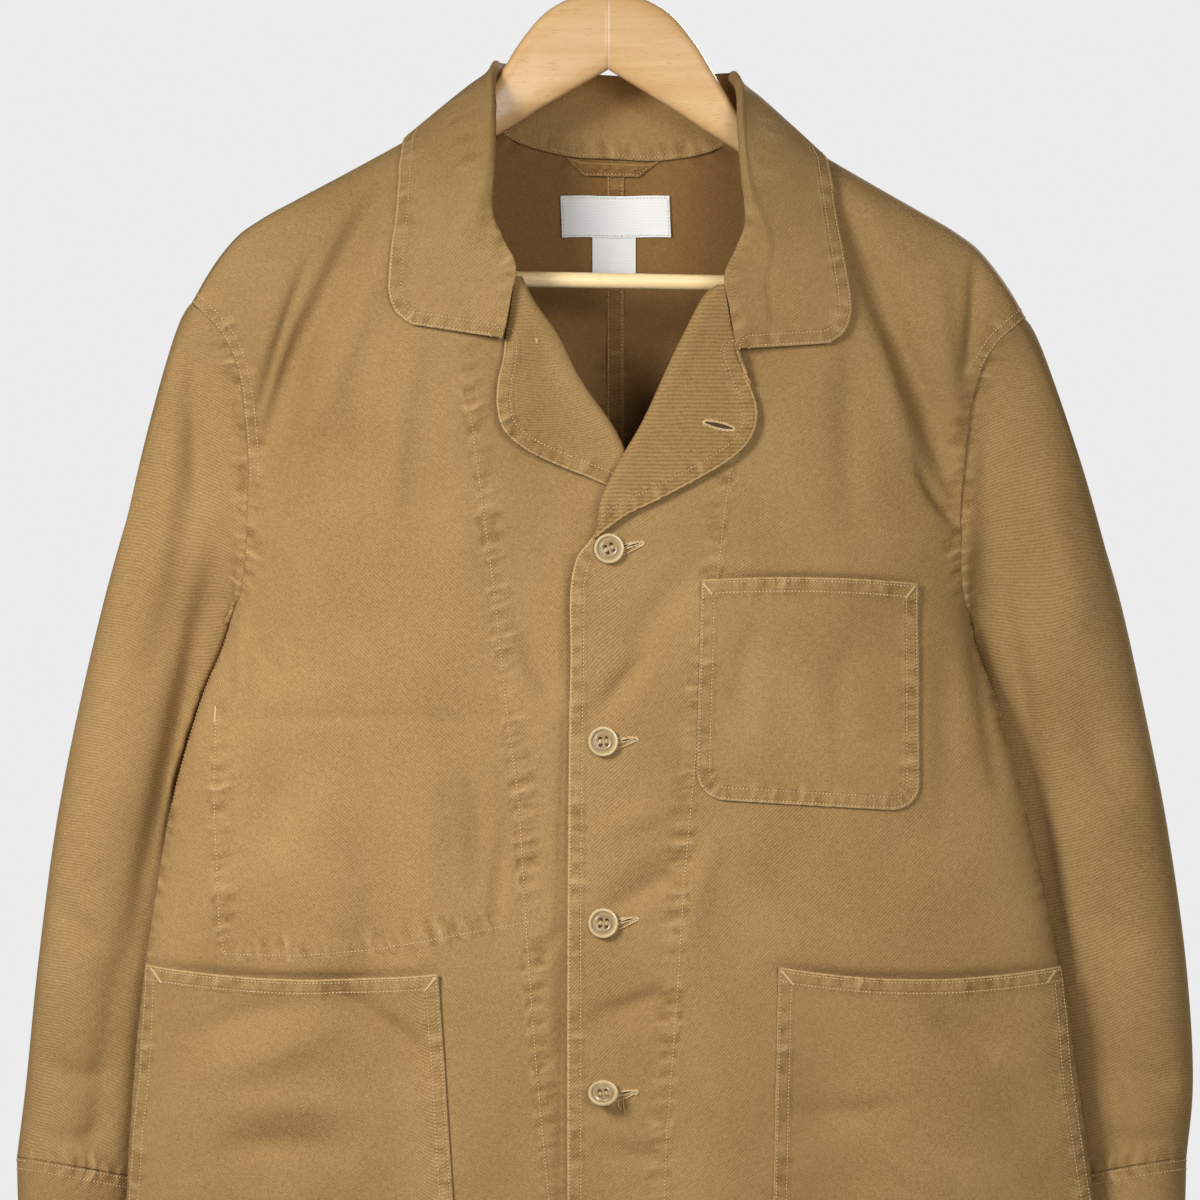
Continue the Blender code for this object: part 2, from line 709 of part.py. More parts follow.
def finish(name, colour, roughness, metallic=0.0):
    material = bpy.data.materials.new(name)
    material.use_nodes = True
    shader = material.node_tree.nodes["Principled BSDF"]
    shader.inputs["Base Color"].default_value = (*colour, 1)
    shader.inputs["Roughness"].default_value = roughness
    shader.inputs["Metallic"].default_value = metallic
    return material


def add(name, mesh, material):
    obj = bpy.data.objects.new(name, mesh)
    obj.data.materials.append(material)
    JACKET.objects.link(obj)
    mesh.shade_smooth()
    return obj


def grid_mesh(points, closed=False):
    """A grid of faces through rows of points. A closed one's first and last columns are joined."""
    rows, columns = points.shape[:2]
    grid = bmesh.new()
    bmesh.ops.create_grid(grid, x_segments=columns - 1, y_segments=rows - 1, size=1)
    for vertex in grid.verts:
        column = round((vertex.co.x + 1) / 2 * (columns - 1))
        row = round((vertex.co.y + 1) / 2 * (rows - 1))
        vertex.co = points[row, column] * MM
    if closed:
        bmesh.ops.remove_doubles(grid, verts=grid.verts, dist=0.00001)
    return grid


def as_mesh(name, grid):
    mesh = bpy.data.meshes.new(name)
    grid.to_mesh(mesh)
    grid.free()
    return mesh


def sheet(name, points, thickness, material, closed=False, flip=False):
    """A sheet, or a closed tube, through rows of points, with its wall on the inner side."""
    grid = grid_mesh(points, closed)
    if flip:
        bmesh.ops.reverse_faces(grid, faces=grid.faces)
    obj = add(name, as_mesh(name, grid), material)
    wall = obj.modifiers.new("wall", "SOLIDIFY")
    wall.thickness = thickness * MM
    wall.offset = -1
    return obj


def patch_pocket(name, shape, material, columns=13):
    """A patch pocket, laid on the front's face and moved out, with a mouth that gapes."""
    (x0, z0), (x1, z1) = shape["top"]
    (x2, z2), (x3, z3) = shape["bottom"]
    t = np.linspace(0, 1, columns)
    u = (0.55 * t + 0.45 * (1 - np.cos(math.pi * t)) / 2)[None]
    v = np.array([0, 0.012, 0.07, 0.17, 0.33, 0.5, 0.67, 0.84, 0.985, 1])[:, None]
    near = np.minimum(u, 1 - u) * abs(x1 - x0)
    inset = np.clip(1 - near / shape["corner"], 0, 1)
    low = mix(z2, z3, u) + shape["corner"] * (1 - np.sqrt(1 - inset**2)) * (1 - v) ** 2
    high = mix(z0, z1, u) - shape["sag"] * 4 * u * (1 - u)
    x = mix(mix(x2, x3, u), mix(x0, x1, u), v)
    z = mix(low, high, v)
    side = body("half", z) - 1.5
    x = np.clip(x, body("sway", z) - side, body("sway", z) + side)
    gape = shape["gape"] * np.sin(math.pi * u) * v**6
    return sheet(name, lift(torso(x, z, FRONT), FRONT, POCKET_LIFT + gape), CLOTH, material)


def button(name, centre, turned, material):
    """A turned button with a raised rim, its back towards the cloth."""
    radius, thick = BUTTON_DIAMETER / 2, BUTTON_THICK
    profile = [
        (0, 0.75 * thick),
        (0.62 * radius, 0.72 * thick),
        (0.78 * radius, thick),
        (0.93 * radius, 0.9 * thick),
        (radius, 0.55 * thick),
        (0.7 * radius, 0),
        (0, 0),
    ]
    mesh = bpy.data.meshes.new(name)
    mesh.from_pydata([(x * MM, 0, z * MM) for x, z in profile], [(i, i + 1) for i in range(6)], [])
    obj = add(name, mesh, material)
    screw = obj.modifiers.new("turned", "SCREW")
    screw.steps = screw.render_steps = 14
    screw.use_merge_vertices = True
    screw.merge_threshold = 0.00001
    obj.location = [c * MM for c in centre]
    obj.rotation_euler = (turned, 0, 0)
    return obj


def hanger_arm(name, hand, material):
    """One arm of the hanger, lofted through rounded sections from the middle joint to its end."""
    angles = np.linspace(0, 2 * math.pi, 15)
    cos, sin = np.cos(angles), np.sin(angles)
    across, up = (np.sign(part) * np.abs(part) ** 0.75 for part in (cos, sin))
    x = hand * ARM["out"][:, None]
    half = (ARM["top"] - ARM["bottom"])[:, None] / 2
    middle = (ARM["top"] + ARM["bottom"])[:, None] / 2 - LEAN * x
    depth = hanger_line(x) + ARM["deep"][:, None] * across
    loft = grid_mesh(stack(x, depth, middle + half * up), closed=True)
    bmesh.ops.holes_fill(loft, edges=[edge for edge in loft.edges if edge.is_boundary])
    bmesh.ops.recalc_face_normals(loft, faces=loft.faces)
    arm = add(name, as_mesh(name, loft), material)
    start, end = hand * (BAR_HALF - SOCKET_DEEP), hand * (BAR_HALF + 0.3)
    socket = rod(f"socket_{name}", BAR_DIAMETER / 2 + 0.3, start, end)
    socket.hide_render = True
    socket.display_type = "WIRE"
    CUTTERS.objects.link(socket)
    cut = arm.modifiers.new("socket", "BOOLEAN")
    cut.object = socket


def rod(name, radius, start, end):
    """A round bar along X at the trouser bar's place."""
    turned = bmesh.new()
    size = radius * MM
    length = abs(end - start) * MM
    bmesh.ops.create_cone(turned, cap_ends=True, segments=16, radius1=size, radius2=size, depth=length)
    obj = bpy.data.objects.new(name, as_mesh(name, turned))
    middle = (start + end) / 2
    depth = float(hanger_line(np.array(BAR_HALF)))
    obj.location = (middle * MM, depth * MM, (BAR_LEVEL - LEAN * middle) * MM)
    obj.rotation_euler = (0, math.pi / 2 + math.atan(LEAN), 0)
    return obj


def hook(material):
    """The wire hook: a stem out of the wood, and a crown that a rail bears in."""
    radius = HOOK_INNER + HOOK_WIRE / 2
    turn = np.radians(np.linspace(215, -42, 22))
    crown = np.stack([radius * np.cos(turn), radius * np.sin(turn) - HOOK_INNER], -1)
    stem = [(0, HOOK_STEM), (0, HOOK_STEM + 12), (-1.5, HOOK_STEM + 18), (-6, HOOK_STEM + 26)]
    curve = bpy.data.curves.new("hanger_hook", "CURVE")
    curve.dimensions = "3D"
    curve.bevel_depth = HOOK_WIRE / 2 * MM
    curve.bevel_resolution = 2
    curve.use_fill_caps = True
    spline = curve.splines.new("POLY")
    path = [*stem, *crown.tolist()]
    spline.points.add(len(path) - 1)
    for point, (x, z) in zip(spline.points, path):
        depth = HANGER_BACK * float(ease((-z - 30) / 35))
        point.co = (x * MM, depth * MM, z * MM, 1)
    obj = bpy.data.objects.new("hanger_hook", curve)
    curve.materials.append(material)
    JACKET.objects.link(obj)


def label(name, shape, material):
    """A sewn-in label on the inner face of the back."""
    x, z = np.meshgrid(np.linspace(*shape["x"], 6), np.linspace(*shape["z"], 4))
    points = lift(torso(x, z, BACK), BACK, np.full(x.shape, -CLOTH - 0.5))
    sheet(name, points, LABEL_THICK, material)


def hanging_loop(material):
    """The loop of folded tape at the back neck seam."""
    t = np.linspace(-1, 1, 9)
    x = CENTRE_BACK + LOOP_SPAN / 2 * t * np.array([1, 0.86, 0.72, 0.6, 0, 0.6, 0.72, 0.86, 1])
    drop = LOOP_DROP * np.array([0, 0.35, 0.75, 1, 1, 1, 0.75, 0.35, 0])
    z = -170.5 - LEAN * x - drop
    off = np.array([0, 0.8, 1.4, 1.8, 2.0, 1.8, 1.4, 0.8, 0]) + CLOTH + 0.6
    columns = [stack(x, 0, z), stack(x, 0, z - LOOP_TAPE)]
    grid = [lift(torso(c[:, 0], c[:, 2], BACK), BACK, -off) for c in columns]
    sheet("hanging_loop", np.stack(grid), LABEL_THICK, material)


def clear_scene():
    for obj in list(bpy.data.objects):
        bpy.data.objects.remove(obj)


def collection(name):
    made = bpy.data.collections.new(name)
    bpy.context.scene.collection.children.link(made)
    return made


clear_scene()
JACKET = collection("chore_jacket")
CUTTERS = collection("cutters")


def main():
    twill = finish("tan twill", (0.40, 0.25, 0.105), 0.85)
    beech = finish("clear-coated beech", (0.83, 0.55, 0.27), 0.4)
    steel = finish("nickel-plated wire", (0.7, 0.7, 0.68), 0.3, 1.0)
    resin = finish("brown resin", (0.42, 0.3, 0.17), 0.35)
    satin = finish("white label satin", (0.8, 0.8, 0.78), 0.6)
    turns = np.linspace(0, 2 * math.pi, 21)
    down = np.array([0, 0.006, 0.03, 0.065, 0.11, 0.17, 0.24, 0.32, 0.41, 0.51, 0.62, 0.73, 0.84, 0.993, 1])
    for hand, name in ((LEFT, "left"), (RIGHT, "right")):
        rows = rows_up(9, [0.6, 0.62, 0.64, 0.655, 0.664, 0.672, 0.685], 9)
        front = front_panel(hand, rows, columns_in(13))
        sheet(f"front_{name}", front, CLOTH, twill, flip=hand == LEFT)
        rows = rows_up(9, [0.6, 0.625, 0.65, 0.675], 5)
        back = back_panel(hand, rows, columns_in(12))
        sheet(f"back_{name}", back, CLOTH, twill, flip=hand == RIGHT)
        sleeve = sleeve_points(down, turns, hand)
        sheet(f"sleeve_{name}", sleeve, CLOTH, twill, closed=True, flip=hand == LEFT)
        cuff = cuff_points(np.array([0, 0.1, 0.9, 1]), turns, hand)
        sheet(f"cuff_{name}", cuff, CLOTH, twill, closed=True, flip=hand == LEFT)
        lapel = lapel_points(np.linspace(0, 1, 13), hand)
        sheet(f"lapel_{name}", lapel, DOUBLE, twill, flip=hand == LEFT)
        hanger_arm(f"hanger_arm_{name}", hand, beech)
    round_neck = np.array(COLLAR_TURNS)
    round_neck = np.concatenate([-round_neck[:0:-1], round_neck])
    sheet("collar", collar_points(round_neck), DOUBLE, twill)
    for name, shape in POCKETS.items():
        patch_pocket(name, shape, twill)
    for number, (x, z, off, tilt) in enumerate(zip(*BUTTONS.values()), 1):
        y = float(torso_y(x, z, FRONT)) - off
        button(f"button_{number}", (x, y, z), math.pi / 2 - math.radians(tilt), resin)
    x, z = NECK_BUTTON["x"], NECK_BUTTON["z"]
    y = float(torso_y(x, z, FRONT) + lap(x, z)) - NECK_BUTTON["lift"]
    button("button_neck", (x, y, z), -math.pi / 2, resin)
    bar = rod("hanger_bar", BAR_DIAMETER / 2, -BAR_HALF, BAR_HALF)
    bar.data.materials.append(beech)
    JACKET.objects.link(bar)
    hook(steel)
    label("neck_label", LABEL, satin)
    label("care_label", CARE_LABEL, satin)
    hanging_loop(twill)


main()
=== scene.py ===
"""The looks of a washed cotton twill chore jacket on a wooden coat hanger.

Sizes are in millimetres and become metres when a mesh is made. X runs to the viewer's right, Y away
from the viewer and Z up, and the wearer's left is at +X. Each piece of cloth is a thin shell on the
form of its solid, with its creases, its sewing and its worn edges."""

import math

import bmesh
import bpy
import numpy as np
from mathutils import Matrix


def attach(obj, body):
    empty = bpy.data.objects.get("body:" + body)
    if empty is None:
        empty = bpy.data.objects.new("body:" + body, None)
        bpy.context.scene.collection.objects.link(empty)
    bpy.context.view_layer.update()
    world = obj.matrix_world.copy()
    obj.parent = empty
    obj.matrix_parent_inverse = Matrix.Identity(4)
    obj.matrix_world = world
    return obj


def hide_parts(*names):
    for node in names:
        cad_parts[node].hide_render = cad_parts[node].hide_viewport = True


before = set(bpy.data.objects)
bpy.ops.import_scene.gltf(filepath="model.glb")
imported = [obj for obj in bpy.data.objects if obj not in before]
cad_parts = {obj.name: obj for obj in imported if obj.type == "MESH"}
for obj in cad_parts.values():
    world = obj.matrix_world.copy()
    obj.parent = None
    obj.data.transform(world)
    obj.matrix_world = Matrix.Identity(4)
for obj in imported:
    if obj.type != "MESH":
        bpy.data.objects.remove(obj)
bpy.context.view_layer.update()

MM = 0.001
LEFT, RIGHT = 1, -1
FRONT, BACK = -1, 1

# Cloth
CLOTH = 1.2  # wall of one layer of twill
DOUBLE = 2.0  # wall of the collar and the lapels, two layers sewn together
SEAM_GAP = 0.2  # between the front's face and the back's at a side seam
LEAN = 0.019  # the hanger hangs a degree out of level, its left arm lower
COLLAR_LEAN = 0.045  # the same of the collar, which has slipped a little further
CENTRE_BACK = 4.0  # the centre-back seam hangs this far to the left

HEM = -880.0
PIT = -445.0
SQUARE = 2.3  # exponent of the body's rounded sections: 2 is an ellipse
SHOULDER_ROUND = 110.0  # how far below the shoulder seam the body reaches its full depth


def table(columns, *rows):
    """A table's columns by name, each an array with a value for every row."""
    return dict(zip(columns.split(), np.array(rows, float).T))


# The body below the shoulders. half is the half width, sway the middle's offset to the left, front and
# back are depths from the side seam's line, and side is that line's own place in depth.
BODY = table(
    "level half sway front back side",
    (-880, 297, 3, 33, 42, -6),
    (-793, 290, 1, 35, 45, -7),
    (-673, 277, -3, 38, 50, -8),
    (-613, 267, -5, 41, 52, -8),
    (-553, 255, -6, 44, 54, -8),
    (-493, 238, -6, 48, 56, -7),
    (-445, 222, -5, 51, 57, -5),
    (-400, 230, -4, 53, 57, -3),
    (-331, 240, -2, 53, 55, 0),
    (-260, 256, 0, 49, 50, 0),
    (-200, 264, 0, 44, 43, 0),
    (-130, 268, 0, 38, 38, 0),
)

# The shoulder line on top of the hanger, from the neck out to the sleeve seam.
SHOULDER = table(
    "out level",
    (0, -100),
    (60, -126),
    (94, -144),
    (125, -162),
    (160, -182),
    (185, -196),
    (209, -210),
    (221, -219),
    (230, -229.5),
    (236, -238),
    (241, -246),
    (245.5, -254),
    (249, -260.5),
)

# The armhole seam, from the pit up to the shoulder's tip.
ARMHOLE = table(
    "climb front back level",
    (0.00, 222, 222, -445),
    (0.09, 217, 220, -432),
    (0.20, 214, 219, -413),
    (0.36, 213, 219, -385),
    (0.52, 214, 222, -355),
    (0.65, 216, 225, -331),
    (0.77, 219, 230, -307),
    (0.87, 225, 236, -288),
    (0.95, 236, 242, -272),
    (1.00, 249, 249, -260),
)

# The front edges, from the hem up the opening and the lapel's roll line to the collar. rise is the share
# of the way from the hem to the shoulder; above GORGE_RISE the edge is the neck seam.
LEFT_EDGE = table(
    "rise across level",
    (0.000, -24.0, -880),
    (0.200, -24.5, -733),
    (0.400, -24.0, -586),
    (0.560, -22.5, -470),
    (0.625, -21.0, -416),
    (0.645, -17.0, -405),
    (0.658, -10.5, -397),
    (0.668, -7.0, -391),
    (0.690, -4.5, -375),
    (0.720, 4.0, -356),
    (0.765, 20.0, -328),
    (0.830, 44.0, -277),
    (0.860, 58.0, -251),
    (0.880, 66.0, -245),
)
RIGHT_EDGE = table(
    "rise across level",
    (0.000, 25.0, -880),
    (0.200, 25.0, -733),
    (0.400, 25.0, -586),
    (0.560, 25.0, -470),
    (0.640, 24.0, -400),
    (0.662, 21.5, -381),
    (0.680, 18.0, -368),
    (0.720, 7.0, -338),
    (0.780, -17.0, -301),
    (0.830, -32.0, -272),
    (0.860, -45.0, -254),
    (0.880, -52.5, -239.5),
)
PIT_RISE = 0.60
GORGE_RISE = 0.88
LAPEL_RISE = 0.672
ROLL_OUT = 4.0  # how far a fold's crest stands out past the edge of the panel that it continues
ROLL_START = 0.012  # rise over which the roll line leaves the opening's edge

# How far the lapped right front lies behind the left one, below the top button and at the lapels, the
# level and height over which it deepens, the level below the neck and the height over which it closes
# again, and the place and width over which it fades out under the right chest.
LAP_LOW, LAP_HIGH = 3.2, 10.0
LAP_DEEPENS, LAP_CLOSES, LAP_FADES = (-500, 100), (-225, 70), (-95, 65)

# Large soft folds of the front, from one end to the other. A positive height stands out.
FRONT_FOLDS = table(
    "x0 z0 x1 z1 width height",
    (-142, -205, -205, -352, 13, -4.5),
    (-176, -240, -205, -385, 9, -3.0),
    (-160, -210, -120, -420, 26, 2.5),
    (142, -200, 212, -372, 12, -5.5),
    (176, -330, 212, -400, 9, -3.0),
    (120, -300, 150, -520, 26, 2.5),
    (-150, -380, -140, -600, 30, -2.5),
    (-215, -395, -190, -440, 14, -2.5),
    (-52, -460, -28, -505, 8, -2.5),
    (2, -612, 52, -580, 9, -3.0),
    (-20, -690, 45, -672, 10, -2.5),
    (-90, -640, -70, -860, 26, 3.0),
    (75, -640, 60, -860, 28, 3.0),
    (-200, -680, -215, -870, 34, 4.0),
    (190, -690, 215, -870, 34, 4.0),
    (-130, -700, -120, -880, 30, -4.0),
    (130, -700, 140, -880, 32, -4.0),
)
BACK_FOLDS = table(
    "x0 z0 x1 z1 width height",
    (-120, -210, -195, -400, 18, 4.0),
    (125, -215, 195, -400, 18, 4.0),
    (-90, -230, -120, -520, 30, -3.0),
    (95, -235, 120, -540, 30, -3.0),
    (-60, -480, -50, -880, 36, 5.0),
    (70, -500, 65, -880, 36, 5.0),
    (-160, -560, -170, -880, 36, 5.0),
    (165, -560, 180, -880, 36, 5.0),
    (-112, -560, -112, -880, 30, -4.0),
    (118, -560, 122, -880, 30, -4.0),
)

# The collar, from the middle of the neck round to its notch, on one side. fold is 1 where it stands and
# turns over, and 0 where it only lies on the chest. shift moves it to the left. Its seam and edge lie on
# the body, behind (1) or in front of (-1) the shoulder line as side says, and its roll is free.
COLLAR = table(
    "turn fold shift seam_out seam_level roll_out roll_y roll_level edge_out edge_level side",
    (0.00, 1.0, 4.0, 0, -168, 0, 50, -115, 0, -190, 1),
    (0.20, 1.0, 3.5, 32, -167, 32, 46, -114.5, 38, -190, 1),
    (0.33, 1.0, 3.5, 60, -161, 53, 36, -113, 74, -186, 1),
    (0.43, 1.0, 4.0, 84, -151, 67, 22, -112, 102, -177, 1),
    (0.50, 1.0, 4.0, 94, -144, 70, 5, -112, 122, -163, 0),
    (0.58, 1.0, 4.5, 94, -156, 73, -14, -121, 128, -177, -1),
    (0.66, 1.0, 5.0, 90, -174, 73, -32, -144, 130, -192, -1),
    (0.75, 0.9, 6.0, 82, -200, 72, -44, -178, 132, -211, -1),
    (0.84, 0.5, 6.5, 71, -223, 68, -51, -210, 135, -231, -1),
    (0.90, 0.0, 7.0, 63, -240, 63, -55, -240, 137, -247, -1),
    (0.94, 0.0, 7.0, 66, -256, 66, -56, -256, 137, -258, -1),
    (0.97, 0.0, 7.0, 68, -268, 68, -57, -268, 133, -268, -1),
    (1.00, 0.0, 7.0, 71, -281, 71, -58, -281, 124, -275, -1),
)
GORGE_TURN = 0.90
LEAF_LIFT_ROLL, LEAF_LIFT_EDGE = 5.8, 4.2  # of the face of a turned-back leaf over the panel below it
COLLAR_ROLL = 4.5  # radius of the collar's fold
LEAF_SWELL = 0.005  # how far the standing collar's leaf bows out, as a share of its fall
GORGE_LIFT, GORGE_REACH = 2.3, 3  # how far the leaf rises at the gorge seam, over a third of its width

# The lapels' outer edges, from the gorge down to where they run into the front edge. rise places each
# row on the roll line, and stand is how far the edge stands off the chest.
LEFT_LAPEL = table(
    "rise edge_x edge_z stand",
    (0.879, 76.3, -286.5, 4.2),
    (0.860, 82, -300, 4.6),
    (0.840, 87.5, -315, 5.2),
    (0.815, 88, -328, 5.6),
    (0.790, 82, -341, 5.6),
    (0.765, 69, -352, 5.2),
    (0.740, 50, -363, 4.8),
    (0.715, 29, -374, 4.6),
    (0.695, 12, -382, 4.6),
    (0.674, -1, -391, 5.0),
    (0.660, -8.5, -397, 5.0),
)
RIGHT_LAPEL = table(
    "rise edge_x edge_z stand",
    (0.879, -61.8, -279, 4.2),
    (0.862, -63, -290, 7.0),
    (0.845, -65.5, -303, 10.5),
    (0.825, -66, -318, 11.0),
    (0.800, -62, -332, 10.5),
    (0.775, -50, -343, 9.0),
    (0.750, -32, -352, 7.0),
    (0.725, -12, -360, 5.5),
    (0.700, 4, -367, 4.6),
    (0.684, 14, -372, 4.6),
)

# The sleeves: their outer and inner lines, and how deep they are to each side of the plane between.
# outer_sway and SLEEVE_SWAY shift the two lines to the left.
SLEEVE = table(
    "down outer_x outer_sway outer_y outer_z inner_x inner_y inner_z deep",
    (0.00, 249, 0.0, -12, -260, 227, -5, -445, 30),
    (0.07, 262, 0.5, -11, -293, 217, 8, -456, 33),
    (0.15, 273, 1.5, -9, -328, 214, 24, -473, 36),
    (0.25, 287, 3.0, -7, -372, 217, 42, -497, 39),
    (0.37, 301, 3.5, -5, -425, 225, 56, -528, 40),
    (0.50, 317, 3.0, -2, -499, 232, 62, -570, 38),
    (0.63, 330, 3.0, 0, -570, 243, 64, -620, 36),
    (0.77, 342, 3.0, 3, -655, 254, 62, -688, 34),
    (0.90, 348, 1.0, 5, -725, 263, 58, -748, 32),
    (1.00, 349, -4.0, 6, -768, 268, 55, -787, 31),
)
SLEEVE_SWAY = -4.0
CUFF_LENGTH = 64.0
CUFF = table(
    "down outer_x outer_y inner_x inner_y deep",
    (0.0, 349, 6, 268, 55, 31),
    (0.5, 348, 6, 268, 55, 30.5),
    (1.0, 345, 6, 267, 54, 30),
)
HEAD = 0.36  # share of the sleeve over which the armhole's shape turns into the sleeve's
HEAD_REACH = (30.0, 26.0)  # how far it leads straight on from the armhole, at the top and at the pit
HEAD_START = (1.8, -0.1)  # how far under the body's edge its first row lies, and at the shoulder's tip
TIP_FROM, TIP_OVER = 0.86, 0.12  # the cosines of the angles that make the tip
TUCK_END, TUCK_FADE = 2.1, 5  # where the first rows come out from under the edge, and over how much
SLEEVE_CLEAR = 0.9  # between the sleeve and the body's side

# Patch pockets: corners in the front view, mouth sag and radius of the lower corners.
POCKETS = {
    "chest_pocket": dict(
        top=((55, -421), (184, -423)),
        bottom=((52, -551), (185, -559)),
        sag=-2.5,
        corner=17,
        gape=1.2,
    ),
    "pocket_right": dict(
        top=((-275, -651), (-101, -655)),
        bottom=((-290, -851), (-89, -853)),
        sag=5.5,
        corner=24,
        gape=3.0,
    ),
    "pocket_left": dict(
        top=((101, -651), (269, -652)),
        bottom=((97, -853), (294, -851)),
        sag=7.0,
        corner=24,
        gape=3.4,
    ),
}
POCKET_LIFT = 0.7 + CLOTH  # of a pocket's face over the front's

# Buttons, from the top one down. tilt is how far a button's face looks up, turned how far it is spun on
# its thread and slant how far its buttonhole rises, all in degrees.
BUTTONS = table(
    "x z lift tilt turned slant",
    (0.5, -402.5, 0.8, 0, 22, 9),
    (-3, -517, 0.8, 0, 3, 3.5),
    (-3, -625, 0.8, 0, -5, 7),
    (-3, -727, 5.6, 37, 6, 4),
)
NECK_BUTTON = dict(x=-51, z=-310, lift=6.0)  # behind the right lapel, its face to the chest
NECK_MARK = (-42.6, -279)  # where its sewing shows on that lapel
NECK_HOLE = (65.5, -329.5, 17, math.radians(-13), 2.6)  # its buttonhole's place, length, tilt and gape
HOLE_MIDDLE, HOLE_LENGTH, HOLE_GAPE = 9.2, 21, 1.0  # a front buttonhole, its middle from its button's
LOOPS_FROM, LOOPS_TO = (7.2, -2.6), 19.5  # where its loose thread runs, from the button's middle

# Hanger
HANGER_HALF = 228.0
HANGER_BACK = 6.0  # how far behind the hook's plane the middle of the wood stands
HANGER_SWEEP = 24.0  # how far forward of that the arms' ends come
ARM = table(
    "out top bottom deep",
    (0.3, -68, -114.6, 7.5),
    (14, -69, -122.8, 7.5),
    (29, -75, -131.8, 7.5),
    (41, -84, -139, 7.5),
    (53, -99, -147, 8),
    (61, -112, -152, 8.5),
    (69, -125, -157, 9),
    (77, -138, -162, 9),
    (85, -151, -168, 9),
    (98, -159, -177, 10.5),
    (135, -175, -202, 13),
    (170, -196, -227, 14),
    (198, -214, -250, 14),
    (212, -225, -255, 12),
    (219, -233, -252, 9),
    (223, -239, -247, 5),
)
BAR_DIAMETER = 9.4
BAR_CHAMFER = 0.6
BAR_LEVEL = -242.0
BAR_HALF = 208.0
SOCKET_DEEP = 50.0
SOCKET_CLEAR = 0.15  # round the dowel
JOINT_GAP, JOINT_BEVEL = 0.06, 0.35  # of each arm's end in the middle of the hanger
HOOK_WIRE = 3.6
HOOK_INNER = 19.0
HOOK_STEM = -67.7

# Labels, inside the back of the neck
LABEL = dict(x=(-29, 37), z=(-188.4, -213.4), off=2.15, skew=1.0)
CARE_LABEL = dict(x=(-9.6, 16.6), z=(-211, -235.5), off=1.45, skew=0.0)
LABEL_WALL, TAPE_WALL = 0.45, 0.8


def follow(at, knots, values):
    """A smooth curve through the values at the knots, read at any places."""
    order = np.argsort(knots)
    knots, values = knots[order], values[order]
    slope = np.gradient(values, knots)
    at = np.clip(at, knots[0], knots[-1])
    i = np.clip(np.searchsorted(knots, at, side="right") - 1, 0, len(knots) - 2)
    step = knots[i + 1] - knots[i]
    t = (at - knots[i]) / step
    first = values[i] * (1 + 2 * t) * (1 - t) ** 2 + slope[i] * step * t * (1 - t) ** 2
    return first + values[i + 1] * t * t * (3 - 2 * t) + slope[i + 1] * step * t * t * (t - 1)


def read(rows, at, knots):
    """Every column of a table at any places, where the rows lie at the knots."""
    return {name: follow(at, knots, values) for name, values in rows.items()}


def ease(t):
    t = np.clip(t, 0, 1)
    return t * t * (3 - 2 * t)


def mix(a, b, t):
    return a + (b - a) * t


def stack(x, y, z):
    return np.stack(np.broadcast_arrays(x, y, z), -1).astype(float)


def unit(v):
    return v / np.maximum(np.linalg.norm(v, axis=-1, keepdims=True), 1e-9)


def turns(count):
    """Angles evenly round a circle."""
    return np.linspace(0, 2 * math.pi, count, endpoint=False)


# ---- the body's outer face ----


def shoulder(x):
    """Level of the shoulder line over the hanger."""
    return follow(np.abs(x), SHOULDER["out"], SHOULDER["level"]) - LEAN * x


def hanger_line(x):
    """Depth of the hanger's middle: its arms sweep forward."""
    return HANGER_BACK - HANGER_SWEEP * (np.abs(x) / HANGER_HALF) ** 1.8


def folds(x, z, rows):
    """How far the soft folds stand out at points of the front view."""
    out = np.zeros(np.broadcast(x, z).shape)
    for x0, z0, x1, z1, width, height in zip(*rows.values()):
        run, fall = x1 - x0, z1 - z0
        t = np.clip(((x - x0) * run + (z - z0) * fall) / (run**2 + fall**2), 0, 1)
        away = (x - x0 - t * run) ** 2 + (z - z0 - t * fall) ** 2
        out += height * np.exp(-away / width**2) * np.sin(math.pi * mix(0.12, 0.95, t)) ** 0.8
    return out


def body(column, z):
    return follow(z, BODY["level"], BODY[column])


def middle_and_depth(x, z, drop, side):
    """The body's middle line and its full depth to one side. drop is the share of the way down from the
    shoulder line to where the body is that deep."""
    middle = mix(hanger_line(x), body("side", z), ease(drop))
    return middle, body("front" if side == FRONT else "back", z)


def torso_parts(x, z, side):
    """Middle line, full depth and the two roundings of the body at points of the front view."""
    out = np.clip(np.abs(x - body("sway", z)) / body("half", z), 0, 1)
    drop = np.clip((shoulder(x) - z) / SHOULDER_ROUND, 0, 1)
    middle, deep = middle_and_depth(x, z, drop, side)
    return middle, deep, 1 - out**SQUARE, 1 - (1 - drop) ** SQUARE


def torso_y(x, z, side):
    """Depth of the jacket's outer face at points of the front view."""
    middle, deep, across, down = torso_parts(x, z, side)
    room = np.clip(across * down, 0, 1)
    bulge = folds(x, z, FRONT_FOLDS if side == FRONT else BACK_FOLDS) * np.minimum(room * 3, 1)
    return middle + side * (deep * room ** (1 / SQUARE) + SEAM_GAP / 2 + bulge)


def torso(x, z, side):
    return stack(x, torso_y(x, z, side), z)


def torso_level(p, side):
    """Over 0 outside the jacket's face and under 0 inside it."""
    x, y, z = p[..., 0], p[..., 1], p[..., 2]
    out = np.abs(x - body("sway", z)) / body("half", z)
    drop = np.minimum((shoulder(x) - z) / SHOULDER_ROUND, 1)
    middle, deep = middle_and_depth(x, z, drop, side)
    return (np.abs(y - middle) / deep) ** SQUARE - (1 - out**SQUARE) * (1 - np.abs(1 - drop) ** SQUARE)


SLOPE_STEP = 0.4  # to both sides of a point, for the slope of the body's face


